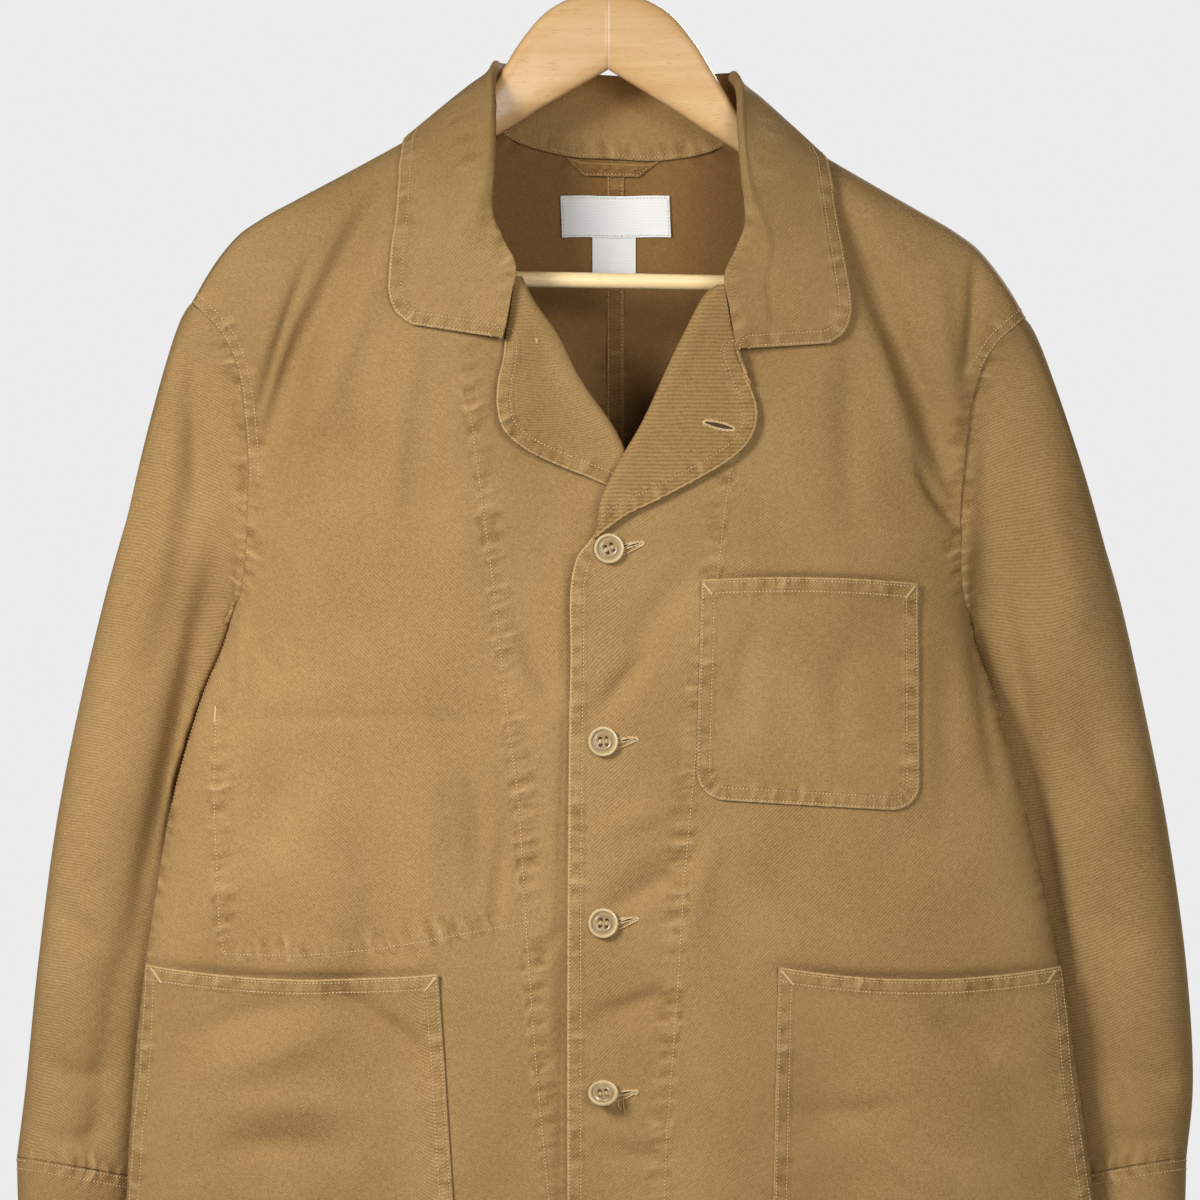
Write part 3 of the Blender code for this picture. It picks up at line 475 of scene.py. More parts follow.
def level_change(p, side):
    """How the level changes along each axis, from a step before the points to a step past them."""
    steps = SLOPE_STEP * np.eye(3)
    return np.stack([torso_level(p + step, side) - torso_level(p - step, side) for step in steps], -1)


def torso_normal(p, side):
    """Outward direction of the jacket's face at points on it."""
    return unit(level_change(p, side))


def lift(p, side, height):
    """Points of the body's face, moved outwards."""
    return p + torso_normal(p, side) * np.asarray(height, float)[..., None]


# ---- the body's panels ----


def neck_seam(turn, hand):
    """The seam of the collar in the front view. turn runs from the middle of the neck to the gorge."""
    out = follow(turn, COLLAR["turn"], COLLAR["seam_out"])
    x = follow(turn, COLLAR["turn"], COLLAR["shift"]) + hand * out
    return x, follow(turn, COLLAR["turn"], COLLAR["seam_level"]) - COLLAR_LEAN * hand * out


def side_edge(rise, hand, side):
    """Outer edge of a panel: the side seam, then the armhole."""
    low = mix(HEM, PIT, np.minimum(rise / PIT_RISE, 1))
    climb = np.clip((rise - PIT_RISE) / (1 - PIT_RISE), 0, 1)
    column = "front" if side == FRONT else "back"
    out = np.where(rise < PIT_RISE, body("half", low), follow(climb, ARMHOLE["climb"], ARMHOLE[column]))
    level = np.where(rise < PIT_RISE, low, follow(climb, ARMHOLE["climb"], ARMHOLE["level"]))
    x = hand * out + body("sway", level) * (1 - climb)
    return x, np.where(climb >= 1, shoulder(x), level - LEAN * x * climb)


def opening_edge(rise, hand, turned_back=True):
    """Inner edge of a front: the opening, the lapel's roll line and the neck seam."""
    edge = LEFT_EDGE if hand == LEFT else RIGHT_EDGE
    x = follow(rise, edge["rise"], edge["across"])
    z = follow(rise, edge["rise"], edge["level"])
    if turned_back:
        x = x + hand * ROLL_OUT * ease((rise - LAPEL_RISE + ROLL_START) / ROLL_START)
    high = np.clip((rise - GORGE_RISE) / (1 - GORGE_RISE), 0, 1)
    neck_x, neck_z = neck_seam(mix(GORGE_TURN, 0.5, high), hand)
    at_neck = rise > GORGE_RISE
    return np.where(at_neck, neck_x, x), np.where(at_neck, neck_z, z)


def patch(u, v, outer, inner, bottom, top):
    """A four-sided sheet in the front view, between its edges. u runs inwards and v up."""
    ox, oz = outer
    ix, iz = inner
    bx, bz = bottom
    tx, tz = top
    u, v = u[None, :], v[:, None]

    def blend(o, i, b, t):
        corners = (1 - u) * (1 - v) * o[0] + u * (1 - v) * i[0] + (1 - u) * v * o[-1] + u * v * i[-1]
        return (1 - u) * o[:, None] + u * i[:, None] + (1 - v) * b[None] + v * t[None] - corners

    return blend(ox, ix, bx, tx), blend(oz, iz, bz, tz)


def lap(x, z):
    """How far the lapped right front lies behind the jacket's face."""
    (foot, height), (top, closing), (start, width) = LAP_DEEPENS, LAP_CLOSES, LAP_FADES
    deepened = ease((z - foot) / height) * ease((top - z) / closing)
    return mix(LAP_LOW, LAP_HIGH, deepened) * ease((x - start) / width)


def front_panel(hand, rise, u):
    """One front, from the side seam in to the opening and up to the shoulder and the neck."""
    outer = side_edge(rise, hand, FRONT)
    inner = opening_edge(rise, hand)
    top_x = mix(outer[0][-1], inner[0][-1], u)
    bottom = mix(outer[0][0], inner[0][0], u), np.full_like(u, HEM)
    x, z = patch(u, rise, outer, inner, bottom, (top_x, shoulder(top_x)))
    points = torso(x, z, FRONT)
    if hand == RIGHT:
        points[..., 1] += lap(x, z)
    return points


NECK_CURVE = 4.5  # how far the back's neck edge stands over the collar's seam beside the shoulder
BACK_GAP = 0.08  # half the gap between the halves at the centre-back seam


def back_panel(hand, rise, u):
    """One half of the back, from the side seam in to the centre-back seam and up to the neck."""
    outer = side_edge(rise, hand, BACK)
    neck_x, neck_z = neck_seam(np.linspace(0.5, 0, 12), hand)
    split = u[np.searchsorted(u, 0.5)]
    share = (outer[0][-1] - neck_x[0]) / (outer[0][-1] - CENTRE_BACK)
    past = np.clip((u - split) / (1 - split), 0, 1) ** 1.5
    along = np.where(u < split, u / split * share, mix(share, 1, past))
    top_x = mix(outer[0][-1], CENTRE_BACK, along)
    order = np.argsort(hand * neck_x)
    neck_level = np.interp(hand * top_x, hand * neck_x[order], neck_z[order])
    top_z = np.where(u < split, shoulder(top_x), neck_level + NECK_CURVE * ease(past * 4))
    bottom = mix(outer[0][0], CENTRE_BACK, along), np.full_like(u, HEM)
    inner = np.full_like(rise, CENTRE_BACK), mix(HEM, top_z[-1], rise)
    x, z = patch(along, rise, outer, inner, bottom, (top_x, top_z))
    points = torso(x, z, BACK)
    points[..., 0] += hand * BACK_GAP * along**6
    return points


# ---- sleeves ----


def ring(outer, inner, deep, turned, angle, hand):
    """Ellipses through a sleeve's outer and inner lines. The angle runs from the outer line forwards, and
    turned says how far their depth is square to the plane between the lines."""
    reach = (outer - inner) / 2
    square = unit(np.stack([-reach[..., 1], reach[..., 0], np.zeros_like(deep)], -1) * -hand)
    forward = unit(mix(np.array([0, -1, 0]), square, turned[..., None])) * deep[..., None]
    cos, sin = np.cos(angle), np.sin(angle)
    centre = (outer + inner) / 2
    return (
        centre[..., None, :]
        + cos[:, None] * reach[..., None, :]
        + sin[:, None] * forward[..., None, :]
    )


def armhole_points(angle, hand):
    """The armhole seam and the body's outward direction there, round the sleeve's angle."""
    turn = np.mod(angle, 2 * math.pi)
    rise = mix(PIT_RISE, 1, 1 - np.minimum(turn, 2 * math.pi - turn) / math.pi)
    front, back = (torso(*side_edge(rise, hand, side), side) for side in (FRONT, BACK))
    share = ease(0.5 - np.sin(turn) * 8)[:, None]
    normal = mix(torso_normal(front, FRONT), torso_normal(back, BACK), share)
    return mix(front, back, share), unit(normal)


def armhole(angle, hand):
    """The armhole seam, and the direction in which the sleeve leaves it."""
    step = 0.03  # of the angle, to both sides of which the seam's direction is read
    points, normal = armhole_points(angle, hand)
    ahead, behind = armhole_points(angle + step, hand)[0], armhole_points(angle - step, hand)[0]
    away = unit(np.cross(unit(ahead - behind), normal)) * -hand
    at_pit = ease(-np.cos(angle))[:, None]
    return points, unit(mix(away, np.array([hand, 0, -0.15]), at_pit))


def sleeve_lines(down, hand):
    """A sleeve's outer and inner lines, its depth, and how far that is square to the plane between."""
    at = read(SLEEVE, down, SLEEVE["down"])
    outer = stack(hand * at["outer_x"] + at["outer_sway"], at["outer_y"], at["outer_z"])
    inner = stack(hand * at["inner_x"] + SLEEVE_SWAY, at["inner_y"], at["inner_z"])
    outer[..., 2] -= LEAN * outer[..., 0] * (1 - down)
    return outer, inner, at["deep"], ease(down / 0.7)


def sleeve_points(down, angle, hand):
    """The sleeve's outer face: it leaves the armhole in line with the body, then hangs."""
    rings = ring(*sleeve_lines(down, hand), angle, hand)
    seam, away = armhole(angle, hand)
    head = (down / HEAD)[:, None, None]
    reach = mix(HEAD_REACH[0], HEAD_REACH[1], ease(0.5 - 0.5 * np.cos(angle)))[:, None]
    at_tip = ease((np.cos(angle) - TIP_FROM) / TIP_OVER)[:, None]
    leading = seam + away * (reach * head - mix(*HEAD_START, at_tip))
    # the first rows lie under the body's edge, then come up level with it
    tucked = (CLOTH + 0.2) * (1 - ease((reach * head - TUCK_END) / TUCK_FADE)) * (1 - at_tip)
    leading = leading - armhole_points(angle, hand)[1] * tucked * ease(0.9 + np.cos(angle))[:, None]
    return clear_of_body(mix(leading, rings, ease(head)), down)


def clear_of_body(points, down):
    """Moves sleeve points that come too near to the body's side out from it."""
    points = points.copy()
    # from 12 mm over the pit downwards, and not in the sleeve's first rows
    near = ease((PIT + 12 - points[..., 2]) / 24) * ease(down / 0.05)[:, None]
    for _ in range(4):
        behind = points[..., 1] > torso_parts(points[..., 0], points[..., 2], BACK)[0]
        for side, mask in ((BACK, behind), (FRONT, ~behind)):
            level = torso_level(points, side)
            steep = np.linalg.norm(level_change(points, side) / (2 * SLOPE_STEP), axis=-1)
            push = np.clip(SLEEVE_CLEAR - level / np.maximum(steep, 1e-4), 0, 4) * near * mask
            points += torso_normal(points, side) * push[..., None]
    return points


def cuff_points(down, angle, hand):
    """The cuff's outer face, straight on from the sleeve's end."""
    at = read(CUFF, down, CUFF["down"])
    top_outer, top_inner, *_ = sleeve_lines(np.ones(1), hand)
    fall = down * CUFF_LENGTH + SEAM_GAP
    outer = stack(hand * at["outer_x"] + SLEEVE_SWAY, at["outer_y"], top_outer[0, 2] - fall)
    inner = stack(hand * at["inner_x"] + SLEEVE_SWAY, at["inner_y"], top_inner[0, 2] - fall)
    square = np.ones_like(down)
    return clear_of_body(ring(outer, inner, at["deep"], square, angle, hand), square)


# ---- collar and lapels ----


def on_body(x, z, behind, height):
    """Points of the body's face, behind or in front of the shoulder line, moved outwards."""
    z = np.minimum(z, shoulder(x) - 0.05)
    back, front = torso(x, z, BACK), torso(x, z, FRONT)
    p = mix(front, back, behind[..., None])
    n = unit(mix(torso_normal(front, FRONT), torso_normal(back, BACK), behind[..., None]))
    return p + n * np.asarray(height, float)[..., None]


def collar_points(turn):
    """The collar's showing face, from its neck seam over the roll to its outer edge."""
    hand = np.where(turn < 0, -1.0, 1.0)
    at = read(COLLAR, np.abs(turn), COLLAR["turn"])
    behind = ease((at["side"] + 0.06) / 0.12)

    def place(out, level):
        return at["shift"] + hand * out, level - COLLAR_LEAN * hand * out

    seam_x, seam_z = place(at["seam_out"], at["seam_level"])
    edge_x, edge_z = place(at["edge_out"], at["edge_level"])
    roll_x, roll_z = place(at["roll_out"], at["roll_level"])
    share = np.linspace(0, 1, 10)  # as many places as the standing collar's below
    # where it lies on the chest
    x = mix(seam_x[:, None], edge_x[:, None], share) - 1.4 * hand[:, None] * (1 - share)
    z = mix(seam_z[:, None], edge_z[:, None], share)
    height = mix(LEAF_LIFT_ROLL, LEAF_LIFT_EDGE, share)[None] + np.zeros_like(x)
    height += GORGE_LIFT * (1 - ease(share * GORGE_REACH))
    leaf = on_body(x, z, np.zeros_like(x), height)
    # where it stands and turns over
    inwards = mix(1.0, 3.2, ease(np.abs(turn) / 0.45)) * ease(np.abs(turn) / 0.4)
    sunk = -0.3 - 0.9 * (1 - at["side"] ** 2)
    at_back = ease((0.42 - np.abs(turn)) / 0.1)
    seam = on_body(seam_x - hand * inwards, seam_z, behind, sunk - 4.0 * at_back)
    seam[:, 2] += mix(mix(1.0, 2.6, ease(np.abs(turn) / 0.3)), 2.0, at_back)
    over_shoulder = -1.3 * np.exp(-(((np.abs(turn) - 0.5) / 0.06) ** 2))
    edge = on_body(edge_x, edge_z, behind, LEAF_LIFT_EDGE + over_shoulder)
    roll = stack(roll_x, at["roll_y"], roll_z)
    out = unit((roll - np.array([CENTRE_BACK, 0, 0])) * np.array([1, 1, 0]))
    down = np.array([0, 0, COLLAR_ROLL])
    inner_top = roll - out * COLLAR_ROLL * 0.3 - down
    outer_top = roll + out * COLLAR_ROLL * 1.1 - down
    fall = edge - outer_top
    swell = unit(out + np.array([0, 0, 0.6])) * (LEAF_SWELL * np.linalg.norm(fall, axis=-1, keepdims=True))
    standing = [
        seam,
        mix(seam, inner_top, 0.4),
        mix(seam, inner_top, 0.75),
        inner_top,
        roll + out * COLLAR_ROLL * 0.5,
        outer_top,
        outer_top + fall * 0.25 + swell * 0.75,
        outer_top + fall * 0.5 + swell,
        outer_top + fall * 0.75 + swell * 0.7,
        edge,
    ]
    full = np.stack(standing, 1)
    fold = at["fold"][:, None, None]
    return leaf * (1 - fold) + full * fold


# A lapel's fold in section: how far it reaches towards the opening, and how far out of the panel's face.
LAPEL_FOLD = ((1.4, -CLOTH), (2.9, -0.9), (4.2, 0.6), (4.5, 2.6), (3.5, 4.6), (1.2, 5.7))


def lapel_points(down, hand):
    """The lapel's showing face: from beside the panel's edge over the roll and out to its edge."""
    rows = LEFT_LAPEL if hand == LEFT else RIGHT_LAPEL
    at = read(rows, down, np.linspace(0, 1, len(rows["rise"])))
    roll_x, roll_z = opening_edge(at["rise"], hand, turned_back=False)
    panel_x = roll_x + hand * ROLL_OUT

    def face(x, z):
        y = torso_y(x, z, FRONT)
        return y + lap(x, z) if hand == RIGHT else y

    columns = []
    # the fold dies away towards the lapel's lower end
    dying = mix(0.28, 1, ease((1 - down) / 0.14))
    for reach, height in LAPEL_FOLD:
        height = mix(-CLOTH, height, dying)
        x = panel_x - hand * mix(ROLL_OUT, reach, dying)
        columns.append(stack(x, face(panel_x, roll_z) - height, roll_z))
    for share in np.linspace(0, 1, 6)[1:]:
        x = mix(panel_x - hand * mix(ROLL_OUT, 1.0, dying), at["edge_x"], share)
        z = mix(roll_z, at["edge_z"], share)
        height = mix(LEAF_LIFT_ROLL, at["stand"], ease(share * 1.4)) * dying
        columns.append(stack(x, face(x, z) - height, z))
    return np.stack(columns, 1)


# ---- creases ----

# Soft creases of the front, as curves through a start, a middle and an end in the front view. A positive
# height stands out and a negative one sinks in.
FRONT_CREASES = table(
    "x0 z0 x1 z1 x2 z2 width height",
    (-132, -182, -178, -268, -212, -358, 7, -2.4),
    (-176, -226, -193, -270, -213, -332, 4.5, -1.7),
    (-116, -196, -158, -286, -196, -382, 9, 1.1),
    (-113, -283, -125, -331, -128, -385, 9, 1.2),
    (-146, -280, -148, -325, -142, -397, 10, -1.2),
    (145, -280, 143, -331, 145, -385, 10, -1.2),
    (163, -277, 175, -331, 199, -385, 8, 1.0),
    (138, -192, 176, -290, 210, -382, 7, -2.6),
    (184, -352, 196, -373, 211, -389, 4, -1.4),
    (219, -232, 217, -264, 213, -300, 4, -1.7),
    (196, -240, 202, -290, 210, -330, 7, 1.0),
    (-50, -457, -41, -474, -29, -493, 4, -1.3),
    (-62, -571, -65, -601, -67, -631, 4, -1.2),
    (-42, -652, -36, -640, -28, -628, 3, -1.0),
    (-38, -703, -35, -715, -28, -724, 3, -1.0),
    (22, -466, 8, -484, -6, -500, 6, -1.8),
    (58, -409, 31, -439, 10, -469, 9, -1.0),
    (4, -616, 25, -604, 49, -590, 5, -1.3),
    (-7, -680, 13, -674, 40, -664, 5, -1.2),
    (-7, -754, 10, -762, 34, -763, 5, -1.2),
    (-5, -571, 19, -562, 46, -553, 8, 0.8),
    (-230, -506, -149, -503, -65, -506, 4, -0.5),
    (-83, -529, -77, -571, -78, -613, 6, -0.8),
    (-185, -409, -167, -445, -155, -493, 16, 1.0),
    (91, -589, 115, -613, 145, -631, 8, -1.2),
    (199, -457, 202, -505, 199, -553, 9, -0.8),
    (67, -571, 55, -601, 49, -637, 7, 0.8),
    (220, -457, 226, -505, 235, -553, 6, -1.0),
    (-212, -455, -206, -470, -194, -478, 7, -1.5),
    (-222, -440, -218, -470, -222, -500, 5, 1.0),
    (-204, -500, -196, -540, -200, -590, 12, -1.2),
    (-150, -560, -140, -620, -150, -690, 15, -1.2),
    (-112, -480, -106, -560, -112, -650, 13, 0.9),
    (-167, -667, -134, -685, -107, -709, 7, -2.0),
    (-227, -739, -185, -733, -143, -740, 10, 1.6),
    (-233, -763, -191, -757, -149, -763, 9, -1.7),
    (-235, -712, -196, -702, -160, -684, 11, 1.4),
    (-242, -690, -215, -680, -186, -678, 8, -1.2),
    (193, -679, 211, -691, 235, -703, 8, -1.8),
    (115, -736, 145, -740, 175, -733, 9, -1.8),
    (157, -751, 178, -769, 205, -787, 10, 1.6),
    (91, -445, 79, -481, 82, -517, 8, -0.7),
    (145, -457, 136, -493, 145, -529, 9, -0.7),
    (-245, -289, -250, -385, -275, -481, 12, -2.5),
    (-275, -355, -281, -409, -293, -457, 10, -1.2),
    (-329, -613, -317, -631, -299, -637, 8, -1.5),
    (-338, -709, -320, -718, -299, -715, 7, -1.3),
    (-305, -745, -317, -757, -341, -751, 6, -1.0),
    (226, -313, 226, -361, 229, -409, 9, -1.6),
    (259, -361, 271, -409, 283, -457, 12, 1.5),
    (283, -493, 295, -529, 313, -553, 10, -1.5),
    (289, -613, 301, -628, 316, -646, 9, -2.0),
    (313, -709, 325, -718, 343, -721, 7, -1.4),
    (295, -751, 313, -757, 337, -754, 6, -1.0),
)
# Similar ones on the back, which the photograph doesn't show.
BACK_CREASES = table(
    "x0 z0 x1 z1 x2 z2 width height",
    (-120, -220, -160, -290, -196, -372, 8, -1.8),
    (118, -224, 152, -300, 192, -384, 9, -2.0),
    (-150, -260, -172, -330, -196, -402, 6, 1.2),
    (150, -250, 176, -318, 200, -392, 6, 1.2),
    (-30, -250, -38, -330, -34, -420, 12, -1.2),
    (44, -262, 50, -352, 44, -450, 12, -1.2),
    (-90, -470, -100, -560, -92, -690, 12, -1.6),
    (96, -500, 104, -610, 96, -740, 12, -1.6),
    (-150, -620, -142, -720, -150, -840, 13, 1.6),
    (146, -640, 156, -730, 150, -850, 13, 1.6),
    (10, -560, 30, -580, 62, -586, 7, -1.0),
    (-20, -690, -50, -704, -84, -700, 7, -1.0),
    (-206, -470, -180, -500, -150, -514, 8, -1.4),
    (204, -480, 176, -512, 146, -522, 8, -1.4),
    (-262, -330, -272, -420, -292, -500, 11, -1.8),
    (262, -340, 272, -430, 292, -510, 11, -1.8),
    (-252, -600, -284, -622, -322, -616, 9, -2.0),
    (258, -588, 290, -612, 326, -604, 9, -2.0),
    (-268, -660, -296, -680, -332, -684, 8, -1.6),
    (268, -648, 300, -668, 334, -664, 8, -1.6),
    (-282, -742, -306, -752, -338, -744, 7, -1.2),
    (284, -736, 308, -748, 338, -752, 7, -1.2),
)


CREASING = 2.6  # how deep the creases are for their heights in the tables
FACES_FRONT = 1.6  # how quickly creases fade in as the cloth turns to the front or to the back
SLACK_TOP, SLACK_FADE = -150, 100  # the slack fades in from this level down

# The slack that hangs in the cloth between its creases: long shallow waves, by how fast each runs across
# and up in radians to the millimetre, where it starts, and its height.
SLACK = table(
    "run_x run_z shift high",
    (0.052, 0.021, 0.4, 0.42),
    (-0.083, 0.034, 2.1, 0.26),
    (0.031, -0.058, 4.0, 0.34),
    (0.121, 0.018, 1.2, 0.16),
    (-0.044, 0.097, 5.3, 0.20),
    (0.092, -0.081, 3.3, 0.16),
    (0.148, 0.062, 0.9, 0.09),
    (-0.063, -0.126, 2.7, 0.12),
)

# Troughs of the sleeves beside the body, where they turn back behind it.
SLEEVE_TROUGHS = table(
    "x0 z0 x1 z1 x2 z2 width height",
    (-232, -395, -254, -500, -286, -650, 9, -7.5),
    (228, -410, 246, -500, 272, -640, 9, -7.5),
    (-291, -640, -303, -720, -311, -800, 8, -3.0),
    (284, -640, 300, -715, 306, -800, 8, -4.5),
    (-250, -290, -249, -330, -244, -375, 6, -2.6),
)

# Troughs behind the pockets' mouths and the lapped front edge.
POCKET_TROUGHS = table(
    "x0 z0 x1 z1 x2 z2 width height",
    (54, -423, 120, -421, 186, -425, 3.6, -3.6),
    (-276, -652.7, -188, -660, -100, -656.7, 4.2, -5.2),
    (100, -652.7, 185, -660.7, 270, -653.7, 4.2, -5.2),
    (-20.5, -410, -25.5, -640, -25.5, -895, 3.6, -4.6),
)


def nearest(points, path):
    """Signed distance from places to a path in a plane, and how far along it the nearest place is."""
    start, run = path[:-1], np.diff(path, axis=0)
    length = np.maximum(np.linalg.norm(run, axis=1), 1e-9)
    before = np.concatenate([[0], np.cumsum(length)[:-1]])
    best = np.full(len(points), np.inf)
    along = np.zeros(len(points))
    for a, d, size, done in zip(start, run, length, before):
        t = np.clip((points - a) @ d / size**2, 0, 1)
        off = points - a - t[:, None] * d
        away = np.linalg.norm(off, axis=1)
        if points.shape[1] == 2:
            away = np.where(d[0] * off[:, 1] - d[1] * off[:, 0] < 0, -away, away)
        nearer = np.abs(away) < np.abs(best)
        best = np.where(nearer, away, best)
        along = np.where(nearer, done + t * size, along)
    return best, along


def creases(x, z, rows):
    """How far the creases stand out at places of the front view."""
    out = np.zeros(x.size)
    places = np.stack([x.ravel(), z.ravel()], -1)
    t = np.linspace(0, 1, 9)[:, None]
    for x0, z0, x1, z1, x2, z2, width, height in zip(*rows.values()):
        start, middle, end = np.array([[x0, z0], [2 * x1 - (x0 + x2) / 2, 2 * z1 - (z0 + z2) / 2], [x2, z2]])
        path = (1 - t) ** 2 * start + 2 * t * (1 - t) * middle + t**2 * end
        reach = 3 * width
        near = np.all((places > path.min(0) - reach) & (places < path.max(0) + reach), axis=1)
        if not near.any():
            continue
        away, along = nearest(places[near], path)
        share = along / np.linalg.norm(np.diff(path, axis=0), axis=1).sum()
        taper = np.sin(math.pi * np.clip(mix(0.06, 0.97, share), 0, 1)) ** 0.7
        out[near] += height * np.exp(-((away / width) ** 2)) * taper
    return out.reshape(x.shape)


def grid_normals(points, closed, flip):
    """Outward directions at a grid of points."""
    if closed:
        wrapped = np.concatenate([points[:, -2:-1], points, points[:, 1:2]], 1)
        across = np.gradient(wrapped, axis=1)[:, 1:-1]
    else:
        across = np.gradient(points, axis=1)
    up = np.gradient(points, axis=0)
    normals = unit(np.cross(across, up))
    return -normals if flip else normals


def creased(points, normals, hidden=None):
    """The cloth with its creases, those of the front on what faces the viewer and of the back behind."""
    facing = -normals[..., 1]
    x, z = points[..., 0], points[..., 2]
    front = CREASING * creases(x, z, FRONT_CREASES) * ease(facing * FACES_FRONT)
    back = CREASING * creases(x, z, BACK_CREASES) * ease(-facing * FACES_FRONT)
    if hidden is not None:
        front = front + creases(x, z, hidden) * ease(facing * FACES_FRONT)
    waves = zip(*SLACK.values())
    soft = sum(high * np.sin(x * run_x + z * run_z + shift) for run_x, run_z, shift, high in waves)
    hung = ease((SLACK_TOP - z) / SLACK_FADE) * ease(np.abs(facing) * 1.5)
    return points + normals * (front + back + soft * hung)[..., None]


# ---- making pieces ----


def colour(code):
    """Linear colour of an sRGB hex value."""
    parts = [int(code[i : i + 2], 16) / 255 for i in (1, 3, 5)]
    return [c / 12.92 if c <= 0.04045 else ((c + 0.055) / 1.055) ** 2.4 for c in parts] + [1]


def mesh_of(name, points, edges=(), faces=()):
    """A mesh through places in millimetres."""
    mesh = bpy.data.meshes.new(name)
    mesh.from_pydata((points * MM).reshape(-1, 3).tolist(), list(edges), list(faces))
    return mesh


def set_field(mesh, name, values):
    """Gives a mesh a named value at each of its points."""
    attribute = mesh.attributes.new(name, "FLOAT", "POINT")
    attribute.data.foreach_set("value", values.reshape(-1).astype(np.float32))


def linked(name, data):
    """An object of the scene, at the origin."""
    obj = bpy.data.objects.new(name, data)
    bpy.context.scene.collection.objects.link(obj)
    return obj


def evaluated_mesh(obj):
    """An object's mesh with its modifiers applied."""
    return bpy.data.meshes.new_from_object(obj.evaluated_get(bpy.context.evaluated_depsgraph_get()))


def cloth_uv(points):
    """Places on the flat cloth in metres, measured along a grid's rows and columns."""
    across = np.linalg.norm(np.diff(points, axis=1), axis=-1)
    up = np.linalg.norm(np.diff(points, axis=0), axis=-1)
    u = np.concatenate([np.zeros((len(points), 1)), np.cumsum(across, 1)], 1)
    v = np.concatenate([np.zeros((1, points.shape[1])), np.cumsum(up, 0)], 0)
    return np.stack([u - u.mean(1, keepdims=True), v], -1) * MM


def cell_corners(grid, flip):
    """What a grid says at the four corners of each of its cells, in the order of a face's corners."""
    corners = [grid[:-1, :-1], grid[:-1, 1:], grid[1:, 1:], grid[1:, :-1]]
    return np.stack(corners[::-1] if flip else corners, 2)


def cloth(name, piece, wall, material, replaced):
    """A piece of cloth through the grid of points on its outer face, with its wall inside. replaced says
    whether it takes the place of the solid with its name."""
    points, closed, flip = piece["points"], piece["closed"], piece["flip"]
    rows, columns = points.shape[:2]
    kept = columns - 1 if closed else columns
    numbers = np.arange(rows * kept).reshape(rows, kept)
    if closed:
        numbers = np.concatenate([numbers, numbers[:, :1]], 1)
    faces = cell_corners(numbers, flip).reshape(-1, 4).tolist()
    mesh = mesh_of(name, points[:, :kept], faces=faces)
    layer = mesh.uv_layers.new(name="flat cloth")
    layer.data.foreach_set("uv", cell_corners(cloth_uv(points), flip).reshape(-1))
    for field, values in piece["fields"].items():
        set_field(mesh, field, values[:, :kept])
    mesh.shade_smooth()
    mesh.materials.append(material)
    obj = linked(f"{name}_cloth", mesh)
    shell = obj.modifiers.new("wall", "SOLIDIFY")
    shell.thickness = wall * MM
    shell.offset = -1
    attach(obj, "root")
    if replaced:
        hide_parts(name)
    return obj


def narrow_ends(count, step):
    """Even shares from 0 to 1, with a narrow first and last step that round a piece's edges."""
    return np.concatenate([[0], np.linspace(step, 1 - step, count - 2), [1]])


def respaced(points, count, step=0.8):
    """Each row of points again at an even spacing, with a narrow first and last step in millimetres."""
    out = np.empty((len(points), count, 3))
    for row, line in enumerate(points):
        along = np.concatenate([[0], np.cumsum(np.linalg.norm(np.diff(line, axis=0), axis=1))])
        places = narrow_ends(count, step / along[-1]) * along[-1]
        for axis in range(3):
            out[row, :, axis] = follow(places, along, line[:, axis])
    return out


# ---- sewing ----

PITCH = 2.15  # of a lockstitch row, twelve stitches to the inch
STITCH = 1.75  # length of one stitch
THREAD, LOOSE_THREAD = 0.8, 0.6
THREAD_LIFT = 0.12  # of a row's line off the cloth
TORN_FIELD = 9  # a row stops where its field differs by more than this between neighbouring points
# rows of stitches and laid threads by the object that they become, each as places and pairs of them
SEWN = {
    "jacket_topstitching": [],
    "edge_topstitching": [],
    "sleeve_topstitching": [],
    "pocket_topstitching": [],
    "label_topstitching": [],
}
LAID = {"buttonhole_thread": [], "bartack_thread": [], "button_thread": []}
# How far the rows of stitches lie from the edge or the seam that they hold.
ROWS = {
    "front edge": (1.5, 7.8),
    "armhole and shoulder": (1.4, 6.4),
    "centre back": (1.4, 8.2),
    "fell inside": (0.1, 7.9),
    "cuff seam": (1.4, 6.6),
    "collar": (1.4, 7.4),
    "pocket sides": (1.6, 7.8),
    "pocket mouth": (2.2, 8.4),
}
HEM_ROW, CUFF_ROW, LAPEL_ROW, NECK_ROW, LOOP_ROW, LABEL_ROW = 11.0, 1.8, 7.8, 2.0, 1.5, 1.3


def contour(points, normals, field, level, where=None):
    """The line on a grid of points along which a field has one value, as places and pairs of them."""
    high = field > level
    places, pairs, known = [], [], {}

    def crossing(a, b):
        if (a, b) not in known:
            t = (level - field[a]) / (field[b] - field[a])
            known[a, b] = len(places)
            places.append(mix(points[a], points[b], t) + mix(normals[a], normals[b], t) * THREAD_LIFT)
        return known[a, b]

    cells = high[:-1, :-1].astype(int) + high[1:, :-1] + high[:-1, 1:] + high[1:, 1:]
    for i, j in np.argwhere((cells > 0) & (cells < 4)):
        if np.abs(field[i : i + 2, j : j + 2] - level).max() > TORN_FIELD:
            continue
        if where is not None and not where[i : i + 2, j : j + 2].all():
            continue
        here, right, above, across = (i, j), (i, j + 1), (i + 1, j), (i + 1, j + 1)
        sides = (here, right), (above, across), (here, above), (right, across)
        ends = [crossing(a, b) for a, b in sides if high[a] != high[b]]
        if len(ends) == 2:
            pairs.append(ends)
    return np.array(places).reshape(-1, 3), pairs


